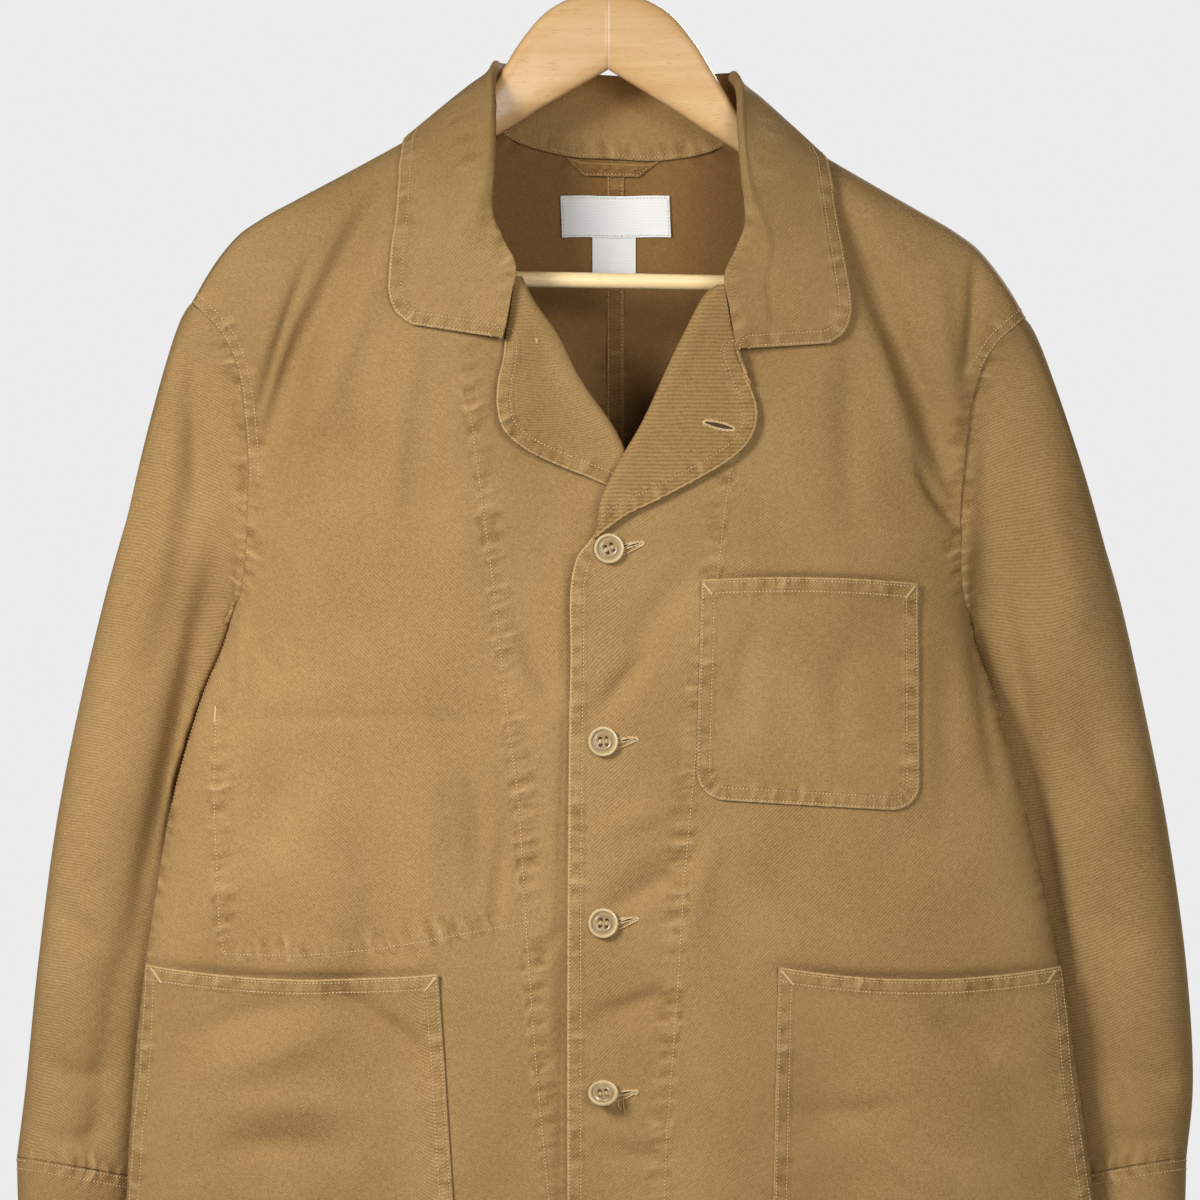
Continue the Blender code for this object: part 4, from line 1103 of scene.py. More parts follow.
def node(tree, kind, settings=None, links=None):
    """Adds a node to a tree, with its settings by name and what its inputs are linked to or set to."""
    made = tree.nodes.new(kind)
    for name, value in (settings or {}).items():
        setattr(made, name, value)
    for socket, value in (links or {}).items():
        if isinstance(value, bpy.types.NodeSocket):
            tree.links.new(value, made.inputs[socket])
        else:
            made.inputs[socket].default_value = value
    return made


def thread_tree(name, sizes):
    """A new node group for threads along a mesh's edges: it, its inputs and the edges as curves."""
    tree = bpy.data.node_groups.new(name, "GeometryNodeTree")
    tree.interface.new_socket("Geometry", in_out="OUTPUT", socket_type="NodeSocketGeometry")
    inputs = [("Geometry", "Geometry"), *((size, "Float") for size in sizes), ("Finish", "Material")]
    for socket, kind in inputs:
        tree.interface.new_socket(socket, in_out="INPUT", socket_type=f"NodeSocket{kind}")
    given = node(tree, "NodeGroupInput").outputs
    lines = node(tree, "GeometryNodeMeshToCurve", None, {"Mesh": given["Geometry"]})
    return tree, given, lines.outputs[0]


def end_tree(tree, given, threads):
    """Ends a thread's node group: its threads become real and get their finish."""
    real = node(tree, "GeometryNodeRealizeInstances", None, {"Geometry": threads})
    links = {"Geometry": real.outputs[0], "Material": given["Finish"]}
    finished = node(tree, "GeometryNodeSetMaterial", None, links)
    node(tree, "NodeGroupOutput", None, {0: finished.outputs[0]})
    return tree


def stitch_row_tree():
    """Stitches along lines: evenly spaced short spindles of thread that follow them."""
    tree, given, lines = thread_tree("row of stitches", ("Pitch", "Stitch length", "Thread"))
    steps = {"Curve": lines, "Length": given["Pitch"]}
    spaced = node(tree, "GeometryNodeResampleCurve", {"mode": "LENGTH"}, steps)
    spindle = node(tree, "GeometryNodeMeshUVSphere", None, {"Radius": 0.5, "Segments": 4, "Rings": 3})
    thickness = {"X": given["Stitch length"], "Y": given["Thread"], "Z": given["Thread"]}
    size = node(tree, "ShaderNodeCombineXYZ", None, thickness)
    tangent = node(tree, "GeometryNodeInputTangent")
    turned = node(tree, "FunctionNodeAlignRotationToVector", {"axis": "X"}, {"Vector": tangent.outputs[0]})
    # inputs 2 and 3 are the least and the most of a random number
    limits = {"Seed": 7, 2: 0.82, 3: 1.1}
    uneven = node(tree, "FunctionNodeRandomValue", {"data_type": "FLOAT"}, limits)
    sizes = {0: size.outputs[0], "Scale": uneven.outputs[1]}
    scale = node(tree, "ShaderNodeVectorMath", {"operation": "SCALE"}, sizes)
    stitches = {
        "Points": spaced.outputs[0],
        "Instance": spindle.outputs[0],
        "Rotation": turned.outputs[0],
        "Scale": scale.outputs[0],
    }
    laid = node(tree, "GeometryNodeInstanceOnPoints", None, stitches)
    return end_tree(tree, given, laid.outputs[0])


def laid_thread_tree():
    """Loose threads: thin rods along lines."""
    tree, given, lines = thread_tree("laid threads", ("Thread",))
    half = node(tree, "ShaderNodeMath", {"operation": "MULTIPLY"}, {0: given["Thread"], 1: 0.5})
    circle_of = {"Resolution": 6, "Radius": half.outputs[0]}
    section = node(tree, "GeometryNodeCurvePrimitiveCircle", None, circle_of)
    rod = {"Curve": lines, "Profile Curve": section.outputs[0], "Fill Caps": True}
    return end_tree(tree, given, node(tree, "GeometryNodeCurveToMesh", None, rod).outputs[0])


def sewn(name, lines, tree, values):
    """A mesh of thread along lines, each an array of places with pairs of them."""
    places = np.concatenate([p for p, _ in lines])
    starts = np.cumsum([0] + [len(p) for p, _ in lines])
    pairs = [(a + s, b + s) for s, (_, run) in zip(starts, lines) for a, b in run]
    obj = linked(name, mesh_of(name, places, pairs))
    maker = obj.modifiers.new("thread", "NODES")
    maker.node_group = tree
    for item in tree.interface.items_tree:
        if item.in_out == "INPUT" and item.name in values:
            maker[item.identifier] = values[item.name]
    made = evaluated_mesh(obj)
    obj.modifiers.clear()
    obj.data = made
    made.name = name
    made.shade_smooth()
    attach(obj, "root")


def lay(group, line):
    """Adds a thread along a line of places."""
    LAID[group].append((np.array(line), [(i, i + 1) for i in range(len(line) - 1)]))


def spot(piece, x, z):
    """The place on a piece's face nearest to one of the front view, with its outward, right and up."""
    points, normals = piece["points"], piece["normals"]
    turned_away = np.where(normals[..., 1] < -0.2, 0, 1e6)  # only what faces the viewer counts
    away = (points[..., 0] - x) ** 2 + (points[..., 2] - z) ** 2 + turned_away
    found = np.unravel_index(np.argmin(away), away.shape)
    centre, outward = points[found], normals[found]
    # the nearest grid point is moved over the face to the exact place
    right = unit(np.array([1, 0, 0]) - outward * outward[0])
    up = np.cross(outward, right) * -1
    up = up if up[2] > 0 else -up
    centre = centre + right * (x - centre[0]) / right[0]
    centre = centre + up * (z - centre[2]) / up[2]
    return centre, outward, right, up


HOLE_STEP = 0.55  # between a buttonhole's stitches
HOLE_END = 0.3  # how far they stand off its line at its ends


def buttonhole(piece, x, z, length, tilt, gape, slit_finish, name, seed):
    """A worked buttonhole: a slit, edged with close stitches that fray at its ends. gape is how wide it
    stands open in the middle."""
    centre, outward, right, up = spot(piece, x, z)
    along = right * math.cos(tilt) + up * math.sin(tilt)
    over = up * math.cos(tilt) - right * math.sin(tilt)
    chance = np.random.default_rng(seed)
    for share in np.linspace(-1, 1, int(length / HOLE_STEP)):
        for side in (-1, 1):
            wide = chance.uniform(1.0, 1.7)
            slant = chance.uniform(-0.35, 0.35)
            open_by = HOLE_END + (gape / 2 - HOLE_END) * (1 - share**2)
            start = centre + along * share * length / 2 + over * side * open_by + outward * 0.28
            lay("buttonhole_thread", [start, start + over * side * wide + along * slant - outward * 0.2])
    for turn in np.linspace(-1.4, 1.4, 7):
        for side in (-1, 1):
            out = along * side * math.cos(turn) + over * math.sin(turn)
            start = centre + along * side * length / 2 + out * HOLE_END + outward * 0.3
            lay("buttonhole_thread", [start, start + out * chance.uniform(0.9, 1.5) - outward * 0.2])
    t = turns(16)
    slit = (
        centre
        + outward * 0.22
        + along * (np.cos(t) * length * 0.48)[:, None]
        + over * (np.sin(t) * (gape / 2 + 0.15))[:, None]
    )
    mesh = mesh_of(name, slit, faces=[list(range(len(t)))])
    mesh.materials.append(slit_finish)
    obj = linked(name, mesh)
    obj.modifiers.new("depth", "SOLIDIFY").thickness = 0.2 * MM
    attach(obj, "root")


def strand(piece, route):
    """A loose thread over a piece, through places of the front view, each with its height off it."""
    spots = [(spot(piece, x, z), high) for x, z, high in route]
    line = np.array([centre + outward * high for (centre, outward, *_), high in spots])
    share = np.linspace(0, 1, len(line))
    fine = np.linspace(0, 1, 4 * len(line))
    lay("buttonhole_thread", np.stack([follow(fine, share, line[:, axis]) for axis in range(3)], -1))


LOOPS_SEED = 20


def worn_loops(piece, x0, z0, x1, z1, number):
    """Buttonhole thread that has come loose: strands from under the button to the hole's end, and on the
    lowest one a fringe that hangs down."""
    chance = np.random.default_rng(LOOPS_SEED + number)
    for bow in (-1.6, 0.9, 2.4):
        middle = mix(x0, x1, 0.5), mix(z0, z1, 0.5) + bow
        end = x1 + chance.uniform(-1.5, 1.5), z1 + bow * 0.5
        strand(piece, [(x0, z0 + bow, 0.6), (*middle, 1.0), (*end, 0.5)])
    if number == len(BUTTONS["x"]):
        for step, drop in ((1.5, 6.5), (4.6, 9.0)):
            foot = x0 + step + 1.4, z0 - drop
            strand(piece, [(x0 + step, z0 + 0.8, 0.8), (x0 + step + 0.2, z0 - drop / 2, 1.1), (*foot, 0.5)])


def neck_button_mark(piece, x, z):
    """The sewing of the neck button, which shows through on the lapel in front of it."""
    for dx, dz in ((-1.2, 1.5), (-0.4, 1.7), (0.9, 1.4), (1.5, 0.4)):
        strand(piece, [(x + dx, z + dz, 0.3), (x + dx * 0.2, z + 0.1, 0.6), (x - dx * 0.6, z - dz, 0.3)])


TACK_HALF, TACK_STEP, TACK_LIFT = 0.55, 0.45, 0.35  # a bartack's half width, pitch and height


def bartack(piece, x0, z0, x1, z1):
    """A short dense bar of thread over a place that takes strain."""
    start, outward, *_ = spot(piece, x0, z0)
    end = spot(piece, x1, z1)[0]
    over = unit(np.cross(end - start, outward)) * TACK_HALF
    length = np.linalg.norm(end - start)
    for share in np.linspace(0, 1, max(int(length / TACK_STEP), 3)):
        middle = mix(start, end, share) + outward * TACK_LIFT
        lay("bartack_thread", [middle - over, middle + over])


# ---- finishes ----

# Scales of textures are per metre of the object's or the flat cloth's places, and of the puckers per
# millimetre of the distances that the cloth carries.
PUCKER_REACH = 16  # how far from a row of stitches the cloth puckers
EDGE_BAND = 16  # width of the edge's section below
# The edge in section, as shares of its band with their heights: a worn lip, a first row of stitches, a
# padded band, a second row, then one layer.
EDGE_SECTION = (
    (0.0, 0.75),
    (0.06, 1.0),
    (0.10, 0.45),
    (0.15, 0.95),
    (0.42, 0.9),
    (0.485, 0.4),
    (0.55, 0.8),
    (0.68, 0.3),
    (1.0, 0.25),
)


def finish(name, values):
    """A new material: it, its node tree and its shader's inputs, some of them set to values."""
    material = bpy.data.materials.new(name)
    material.use_nodes = True
    inputs = material.node_tree.nodes["Principled BSDF"].inputs
    for socket, value in values.items():
        inputs[socket].default_value = value
    return material, material.node_tree, inputs


def object_places(tree):
    return node(tree, "ShaderNodeTexCoord").outputs["Object"]


def cloth_places(tree):
    return node(tree, "ShaderNodeUVMap", {"uv_map": "flat cloth"}).outputs[0]


def field_of(tree, name):
    """What a mesh says at its points under a name."""
    return node(tree, "ShaderNodeAttribute", {"attribute_name": name}).outputs["Fac"]


def mapped(tree, place, **changes):
    """Places with a Scale or a Location."""
    return node(tree, "ShaderNodeMapping", None, {"Vector": place, **changes}).outputs[0]


def noise(tree, place, scale, **more):
    """Cloudy noise from 0 to 1."""
    return node(tree, "ShaderNodeTexNoise", None, {"Vector": place, "Scale": scale, **more}).outputs["Fac"]


def bands(tree, place, direction, scale, distortion, **more):
    """Ribs from 0 to 1, whose lines lie across the direction."""
    links = {"Vector": place, "Scale": scale, "Distortion": distortion, "Detail": 2, **more}
    return node(tree, "ShaderNodeTexWave", {"bands_direction": direction}, links).outputs["Fac"]


def calc(tree, operation, *values, clamp=False):
    """A number worked out from others."""
    settings = {"operation": operation, "use_clamp": clamp}
    return node(tree, "ShaderNodeMath", settings, dict(enumerate(values))).outputs[0]


def weighed(tree, start, *terms):
    """A start to which values are added, each times its weight."""
    for value, weight in terms:
        start = calc(tree, "MULTIPLY_ADD", value, weight, start)
    return start


def remapped(tree, value, given, wanted, soft=False):
    """A value between two given ones, as one between two wanted ones."""
    settings = {"interpolation_type": "SMOOTHSTEP" if soft else "LINEAR"}
    ends = dict(zip(("From Min", "From Max", "To Min", "To Max"), (*given, *wanted)))
    return node(tree, "ShaderNodeMapRange", settings, {"Value": value, **ends}).outputs[0]


def blended(tree, share, first, second):
    """A colour between two, each a hex value or another colour's socket."""
    first, second = (colour(tone) if isinstance(tone, str) else tone for tone in (first, second))
    return node(tree, "ShaderNodeMix", {"data_type": "RGBA"}, {0: share, 6: first, 7: second}).outputs[2]


def bump(tree, inputs, height, distance, strength):
    """Raises a surface by a height between 0 and 1 times a distance in metres."""
    links = {"Height": height, "Strength": strength, "Distance": distance}
    tree.links.new(node(tree, "ShaderNodeBump", None, links).outputs[0], inputs["Normal"])


def twill(name, base, worn, ribbed=False, seed=0.0):
    """Washed cotton twill, piece dyed: matt with a soft nap, a fine diagonal rib, and paler threads where
    edges have worn. Beside edges and seams the puckers are painted paler on their ridges and darker in their
    hollows, partly wear and partly painted highlight and shade. The rib is drawn at 1.5 mm, larger than
    life, so that it shows."""
    looks = {"Roughness": 0.88, "Specular IOR Level": 0.25, "Sheen Weight": 0.14, "Sheen Roughness": 0.45}
    material, tree, inputs = finish(name, {**looks, "Sheen Tint": colour("#d9bd8e")})
    flat, place = cloth_places(tree), object_places(tree)
    rim, run, seam, sewn_run, plain = (field_of(tree, f) for f in ("rim", "run", "seam", "sewn", "plain"))

    # weave: a diagonal rib 1.5 mm apart, or the facing's level ribs 2.4 mm apart
    if ribbed:
        weave = bands(tree, place, "Z", 130, 2.8, **{"Detail Scale": 0.7})
        weave_height, weave_tone = 0.24, 0.34
    else:
        weave = bands(tree, flat, "DIAGONAL", 300, 2.6, **{"Detail Scale": 1.6})
        weave_height, weave_tone = 0.13, 0.26
    yarn = noise(tree, mapped(tree, flat, Scale=(420, 760, 1)), 1, Detail=3)
    warp = noise(tree, mapped(tree, flat, Scale=(900, 300, 1)), 1, Detail=2)
    washed = mapped(tree, place, Location=(seed, 0, seed))
    wash = noise(tree, washed, 14, Detail=3, Roughness=0.5)
    rub = noise(tree, washed, 160, Detail=3, Roughness=0.6)

    def gathered(distance, along):
        """Puckers beside a row of stitches, about 6 mm apart, stronger in some places than in others."""
        links = {"X": along, "Y": distance, "Z": seed}
        spot_at = node(tree, "ShaderNodeCombineXYZ", None, links).outputs[0]
        pucker = noise(tree, mapped(tree, spot_at, Scale=(0.17, 0.06, 1)), 1, Detail=0.6)
        slow = noise(tree, mapped(tree, spot_at, Scale=(0.03, 0.02, 1)), 1, Detail=1)
        strong = remapped(tree, slow, (0.38, 0.62), (0.45, 1.25))
        fade = remapped(tree, distance, (PUCKER_REACH * 0.2, PUCKER_REACH), (1, 0), soft=True)
        here = calc(tree, "MULTIPLY", strong, fade)
        return calc(tree, "MULTIPLY", calc(tree, "SUBTRACT", pucker, 0.5), here)

    both = calc(tree, "ADD", gathered(rim, run), gathered(seam, sewn_run))
    puckers = calc(tree, "MULTIPLY", both, calc(tree, "SUBTRACT", 1, plain))

    section = node(tree, "ShaderNodeValToRGB", None, {"Fac": calc(tree, "DIVIDE", rim, EDGE_BAND)})
    ramp = section.color_ramp
    ramp.interpolation = "EASE"
    while len(ramp.elements) < len(EDGE_SECTION):
        ramp.elements.new(0.5)
    for element, (at, level) in zip(ramp.elements, EDGE_SECTION):
        element.position = at
        element.color = (level, level, level, 1)
    edge = section.outputs["Color"]
    relief = (weave, weave_height), (yarn, 0.14), (warp, 0.12), (rub, 0.35), (puckers, 3.3), (edge, 0.55)
    bump(tree, inputs, weighed(tree, 0.0, *relief), MM, 1.0)

    # colour: the dye, washed unevenly, paler on yarn tops and the worn lip of an edge; the puckers paler on
    # their ridges and darker in their hollows, partly wear and partly painted highlight and shade
    lip = remapped(tree, rim, (0.5, 1.7), (0.62, 0), soft=True)
    tones = (wash, 0.40), (weave, weave_tone), (yarn, 0.56), (warp, 0.40), (puckers, 1.2), (rub, 0.2)
    pale = calc(tree, "ADD", weighed(tree, -0.44, *tones), lip, clamp=True)
    tree.links.new(blended(tree, pale, base, worn), inputs["Base Color"])
    return material


def beech(name, base, dark, pale):
    """Beech, sanded and clear lacquered: a satin coat over straight grain with short darker flecks."""
    looks = {"Roughness": 0.42, "Coat Weight": 0.25, "Coat Roughness": 0.25}
    material, tree, inputs = finish(name, looks)
    place = object_places(tree)
    grain = noise(tree, mapped(tree, place, Scale=(9, 40, 130)), 1, Detail=4)
    fleck = noise(tree, mapped(tree, place, Scale=(130, 700, 1300)), 1, Detail=1)
    wood = blended(tree, remapped(tree, grain, (0.35, 0.68), (0, 1)), base, pale)
    marked = blended(tree, remapped(tree, fleck, (0.62, 0.72), (0, 0.35)), wood, dark)
    tree.links.new(marked, inputs["Base Color"])
    bump(tree, inputs, grain, 0.3 * MM, 0.3)
    return material


def plated_wire():
    """Nickel-plated steel wire, drawn and bright: a mirror that fine draw lines blur a little."""
    looks = {"Metallic": 1.0, "Base Color": colour("#d6d3ca")}
    material, tree, inputs = finish("nickel-plated wire", looks)
    marks = noise(tree, object_places(tree), 900, Detail=2)
    tree.links.new(remapped(tree, marks, (0.3, 0.7), (0.2, 0.34)), inputs["Roughness"])
    return material


def resin():
    """Cast polyester resin, turned and tumbled: a glossy tan with faint paler swirls, like horn."""
    material, tree, inputs = finish("tumbled tan resin", {"Roughness": 0.28, "IOR": 1.55})
    swirl = noise(tree, object_places(tree), 120, Detail=2, Distortion=2.5)
    mixed = blended(tree, swirl, "#86704a", "#a8906a")
    # the raised rim is painted paler, a painted highlight
    tree.links.new(blended(tree, field_of(tree, "painted_rim_highlight"), mixed, "#c4ad82"), inputs["Base Color"])
    return material


def satin():
    """Damask label cloth, woven of white polyester: a soft sheen over fine level picks."""
    material, tree, inputs = finish("white damask label", {"Roughness": 0.6, "Sheen Weight": 0.2})
    picks = bands(tree, cloth_places(tree), "Y", 340, 1.0)
    tree.links.new(blended(tree, picks, "#ecebe7", "#f8f8f5"), inputs["Base Color"])
    bump(tree, inputs, picks, 0.2 * MM, 0.5)
    return material


def mottled(name, first, second, roughness, scale, **more):
    """A matt material whose tone wanders between two colours."""
    material, tree, inputs = finish(name, {"Roughness": roughness})
    tone = noise(tree, object_places(tree), scale, **more)
    tree.links.new(blended(tree, tone, first, second), inputs["Base Color"])
    return material


def thread(name, base, worn):
    """Spun polyester sewing thread, washed: matt, each stitch a little paler or darker than the next."""
    return mottled(name, base, worn, 0.75, 420, Detail=1)


def shaded_slit():
    """The cut inside a buttonhole, where the cloth's raw edges leave no light."""
    return mottled("cut cloth in shade", "#2c1f14", "#5a432b", 1.0, 900)


# ---- camera and light ----

FRAME_X, FRAME_Z, FRAME_WIDTH = -5, -433, 720  # middle and width of what the photograph shows
LENS, SENSOR = 250, 36
# Square lights, by name: where each is and what it is aimed at, both in metres, its size, its power in
# watts and its spread in degrees.
LIGHTS = (
    ("key", (-1.0, -1.25, 0.1), (-0.06, 0, -0.64), 0.55, 4.2, 62),
    ("front fill", (0.7, -2.2, -0.1), (0.05, 0, -0.47), 1.0, 2.3, 45),
    ("back light", (1.2, 3.0, 0.8), (0, 0, -0.45), 2.0, 90, 180),
)
# What lights the jacket from all round, and what the camera sees behind it, each with its strength.
SURROUNDINGS = (("#f4f4f4", 0.1), ("#ececec", 1.0))
FLOOR_LEVEL, FLOOR_RADIUS, FLOOR_DEPTH = -1.2, 1.6, 0.02


def make_camera():
    """Looks straight at the jacket's front from far off, framed as in the photograph."""
    data = bpy.data.cameras.new("camera")
    data.lens = LENS
    data.sensor_width = SENSOR
    data.clip_end = 100
    camera = linked("camera", data)
    camera.location = (FRAME_X * MM, -FRAME_WIDTH * data.lens / SENSOR * MM, FRAME_Z * MM)
    camera.rotation_euler = (math.pi / 2, 0, 0)
    bpy.context.scene.camera = camera


def area_light(name, place, aim, size, power, spread):
    data = bpy.data.lights.new(name, "AREA")
    data.size = size
    data.energy = power
    data.spread = math.radians(spread)
    lamp = linked(name, data)
    lamp.location = place
    turn = np.array(aim) - np.array(place)
    flat_run = math.hypot(turn[0], turn[1])
    lamp.rotation_euler = (math.pi / 2 + math.atan2(turn[2], flat_run), 0, math.atan2(-turn[0], turn[1]))


def studio():
    """Soft light from above on the left at the jacket's middle, which falls off to its ends, with fill
    from the right and all round, over a plain pale floor."""
    scene = bpy.context.scene
    scene.view_settings.view_transform = "Standard"
    world = bpy.data.worlds.new("studio")
    scene.world = world
    world.use_nodes = True
    tree = world.node_tree
    tree.nodes.clear()
    fill, seen = (
        node(tree, "ShaderNodeBackground", None, {"Color": colour(tone), "Strength": strength}).outputs[0]
        for tone, strength in SURROUNDINGS
    )
    to_camera = node(tree, "ShaderNodeLightPath").outputs["Is Camera Ray"]
    both = node(tree, "ShaderNodeMixShader", None, {0: to_camera, 1: fill, 2: seen})
    node(tree, "ShaderNodeOutputWorld", None, {0: both.outputs[0]})
    for light in LIGHTS:
        area_light(*light)
    bpy.ops.mesh.primitive_cylinder_add(
        vertices=96, radius=FLOOR_RADIUS, depth=FLOOR_DEPTH, location=(0, 0, FLOOR_LEVEL)
    )
    floor = bpy.context.object
    floor.name = "floor"
    floor.data.materials.append(mottled("pale matt floor", "#e6e6e6", "#e9e9e9", 0.9, 3))


# ---- the jacket's pieces ----

# The inner edges of the facings, whose stitches show on the fronts, and the inner pocket's stitches.
FACING_LEFT = table(
    "x z",
    (73, -300),
    (73, -352),
    (68, -391),
    (61, -457),
    (52, -524),
    (45, -601),
    (41, -670),
    (35, -748),
    (32, -820),
    (31, -890),
)
FACING_RIGHT = table(
    "x z",
    (-85, -270),
    (-83, -313),
    (-75, -373),
    (-67, -433),
    (-61, -493),
    (-53, -553),
    (-49, -625),
    (-43, -709),
    (-35, -793),
    (-30, -890),
)
INNER_POCKET = table(
    "x z",
    (-234, -496),
    (-235, -553),
    (-232, -625),
    (-229, -644),
    (-185, -645),
    (-137, -641),
    (-83, -631),
    (-49, -625),
)


LEAP = 12  # a run that changes by more between neighbouring points leaps from one line to another
FAR = 60.0  # distance from an edge or a seam that a piece doesn't have
NEAR = 30  # within this of an edge or a seam its leaps matter


def as_piece(points, closed=False, flip=False):
    """A grid of points with its outward directions."""
    return {"points": points, "normals": grid_normals(points, closed, flip), "closed": closed, "flip": flip}


def piece_of(points, closed=False, flip=False, hidden=None):
    """A grid of points with its creases and its outward directions. hidden is a table of troughs that
    only this piece has, behind the edge of one that lies on it."""
    return as_piece(creased(points, grid_normals(points, closed, flip), hidden), closed, flip)


def distance_to(points, path):
    """Distance of a grid's points from a line in space."""
    return nearest(points.reshape(-1, 3), path)[0].reshape(points.shape[:2])


def leaps(run, closed):
    """How near places are to where a run leaps from one line to another, from 0 to 1."""
    ring = run[:, :-1] if closed else run
    near = np.zeros(ring.shape)
    for axis in (0, 1):
        ahead = np.roll(ring, -1, axis)
        if axis == 0:
            ahead[-1] = ring[-1]
        elif not closed:
            ahead[:, -1] = ring[:, -1]
        leap = np.abs(ahead - ring) > LEAP
        for shift in (-1, 0, 1, 2):
            near = np.maximum(near, np.roll(leap, shift, axis))
    soft = near
    for _ in range(4):
        soft = sum(np.roll(soft, shift, axis) for axis in (0, 1) for shift in (-1, 1)) / 4
    near = np.maximum(near, np.minimum(1, 1.6 * soft))
    return np.concatenate([near, near[:, :1]], 1) if closed else near


def place_fields(piece, rim, seams, doubled=()):
    """Distances from a piece's finished edge and from its sewn lines, and how far along they lie.
    doubled gives, for the first sewn lines, the side on which a second layer lies behind the cloth: it
    puckers there, and hardly on the other side."""
    shape, closed = piece["points"].shape[:2], piece["closed"]
    solid = piece["points"].reshape(-1, 3)
    front = solid[:, [0, 2]]
    pick = np.arange(len(solid))

    def near(paths):
        """Signed distance from each path and how far along it lies. A path is in space or in front view."""
        far = np.full(len(solid), FAR)
        found = [nearest(solid if path.shape[1] == 3 else front, path) for path in paths]
        return [np.array(part) for part in zip(*(found or [(far, far)]))]

    edge, run = near(rim)
    seam, seam_run = near(seams)
    first_edge, first_seam = (np.argmin(np.abs(lines), axis=0) for lines in (edge, seam))
    single = np.ones(seam.shape)
    for line, side in enumerate(doubled):
        single[line] = np.where(seam[line] * side < 0, 2.4, 1)
    fields = {
        "rim": np.abs(edge)[first_edge, pick],
        "run": run[first_edge, pick],
        "seam": np.abs(seam * single)[first_seam, pick],
        "sewn": (seam_run + 0.15 * seam)[first_seam, pick],
    }
    fields = {name: values.reshape(shape) for name, values in fields.items()}
    edge_leaps = leaps(fields["run"], closed) * (fields["rim"] < NEAR)
    seam_leaps = leaps(fields["sewn"], closed) * (fields["seam"] < NEAR)
    fields["plain"] = np.maximum(edge_leaps, seam_leaps)
    piece["fields"] = fields
    piece["sewn_to"] = [line.reshape(shape) for line in seam]


def path_of(rows):
    return np.stack([rows["x"], rows["z"]], -1)


def sew(group, piece, field, levels, where=None):
    """Adds the rows of stitches that lie at levels of a field, where they are wanted."""
    for level in levels if isinstance(levels, tuple) else (levels,):
        places, pairs = contour(piece["points"], piece["normals"], field, level, where)
        if pairs:
            SEWN[group].append((places, pairs))


def make(name, piece, wall, material, replaced=True):
    """Makes a piece of cloth."""
    obj = cloth(name, piece, wall, material, replaced)
    return obj


def inwards(count):
    """Shares in from a side seam, closer together where the cloth turns, with a narrow first and last."""
    t = np.linspace(0, 1, count)
    bent = mix(t, 1 - np.cos(math.pi * t / 2), 0.6)
    return np.concatenate([[0, 0.002], bent[1:-1], [0.9965, 1]])


OPEN_EDGE_TOP, EDGE_ROWS_TOP = 0.67, 0.665  # rise at which the opening's edge and its rows end
FACING_ROW_TOP = {LEFT: -350, RIGHT: -322}  # level at which a facing's row comes out below the lapel
ARMHOLE_ROWS_FOOT = {LEFT: -296, RIGHT: -362}  # level below which the sleeve hides the armhole's rows
INNER_POCKET_TOP = -497


def body_front(hand, name, material):
    """One front, with the stitches of its edge, hem, facing, armhole and inner pocket."""
    left = hand == LEFT
    hidden = POCKET_TROUGHS
    if left:  # without the last trough, which lies behind the left front's own edge
        hidden = {column: values[:3] for column, values in POCKET_TROUGHS.items()}
    rise = np.concatenate(
        [
            [0, 0.0012],
            np.linspace(0, PIT_RISE, 150, endpoint=False)[1:],
            np.linspace(PIT_RISE, GORGE_RISE, 92, endpoint=False),
            np.linspace(GORGE_RISE, 0.997, 34),
            [1],
        ]
    )
    piece = piece_of(front_panel(hand, rise, inwards(100)), flip=left, hidden=hidden)
    points = piece["points"]
    open_edge, hem = points[rise <= OPEN_EDGE_TOP, -1], points[0]
    lines = [path_of(FACING_LEFT if left else FACING_RIGHT), points[rise >= PIT_RISE, 0]]
    lines.append(points[rise <= PIT_RISE, 0])
    if not left:
        lines.append(path_of(INNER_POCKET))
    place_fields(piece, [open_edge, hem], lines, (-1,) if left else (1, 0, 0, 1))
    facing, armhole_seam = piece["sewn_to"][:2]
    low = np.broadcast_to(rise[:, None] < EDGE_ROWS_TOP, points.shape[:2])
    z = points[..., 2]
    to_edge, to_hem = distance_to(points, open_edge), distance_to(points, hem)
    if left:
        sew("jacket_topstitching", piece, to_edge, ROWS["front edge"], low & (to_hem > 2))
    sew("jacket_topstitching", piece, to_hem, HEM_ROW, to_edge > 1.5)
    sew("jacket_topstitching", piece, facing, 0, z <= FACING_ROW_TOP[hand])
    shown = z > ARMHOLE_ROWS_FOOT[hand]
    sew("jacket_topstitching", piece, armhole_seam, ROWS["armhole and shoulder"], shown)
    if not left:
        sew("jacket_topstitching", piece, piece["sewn_to"][3], 0, z < INNER_POCKET_TOP)
    make(name, piece, CLOTH, material)
    return piece


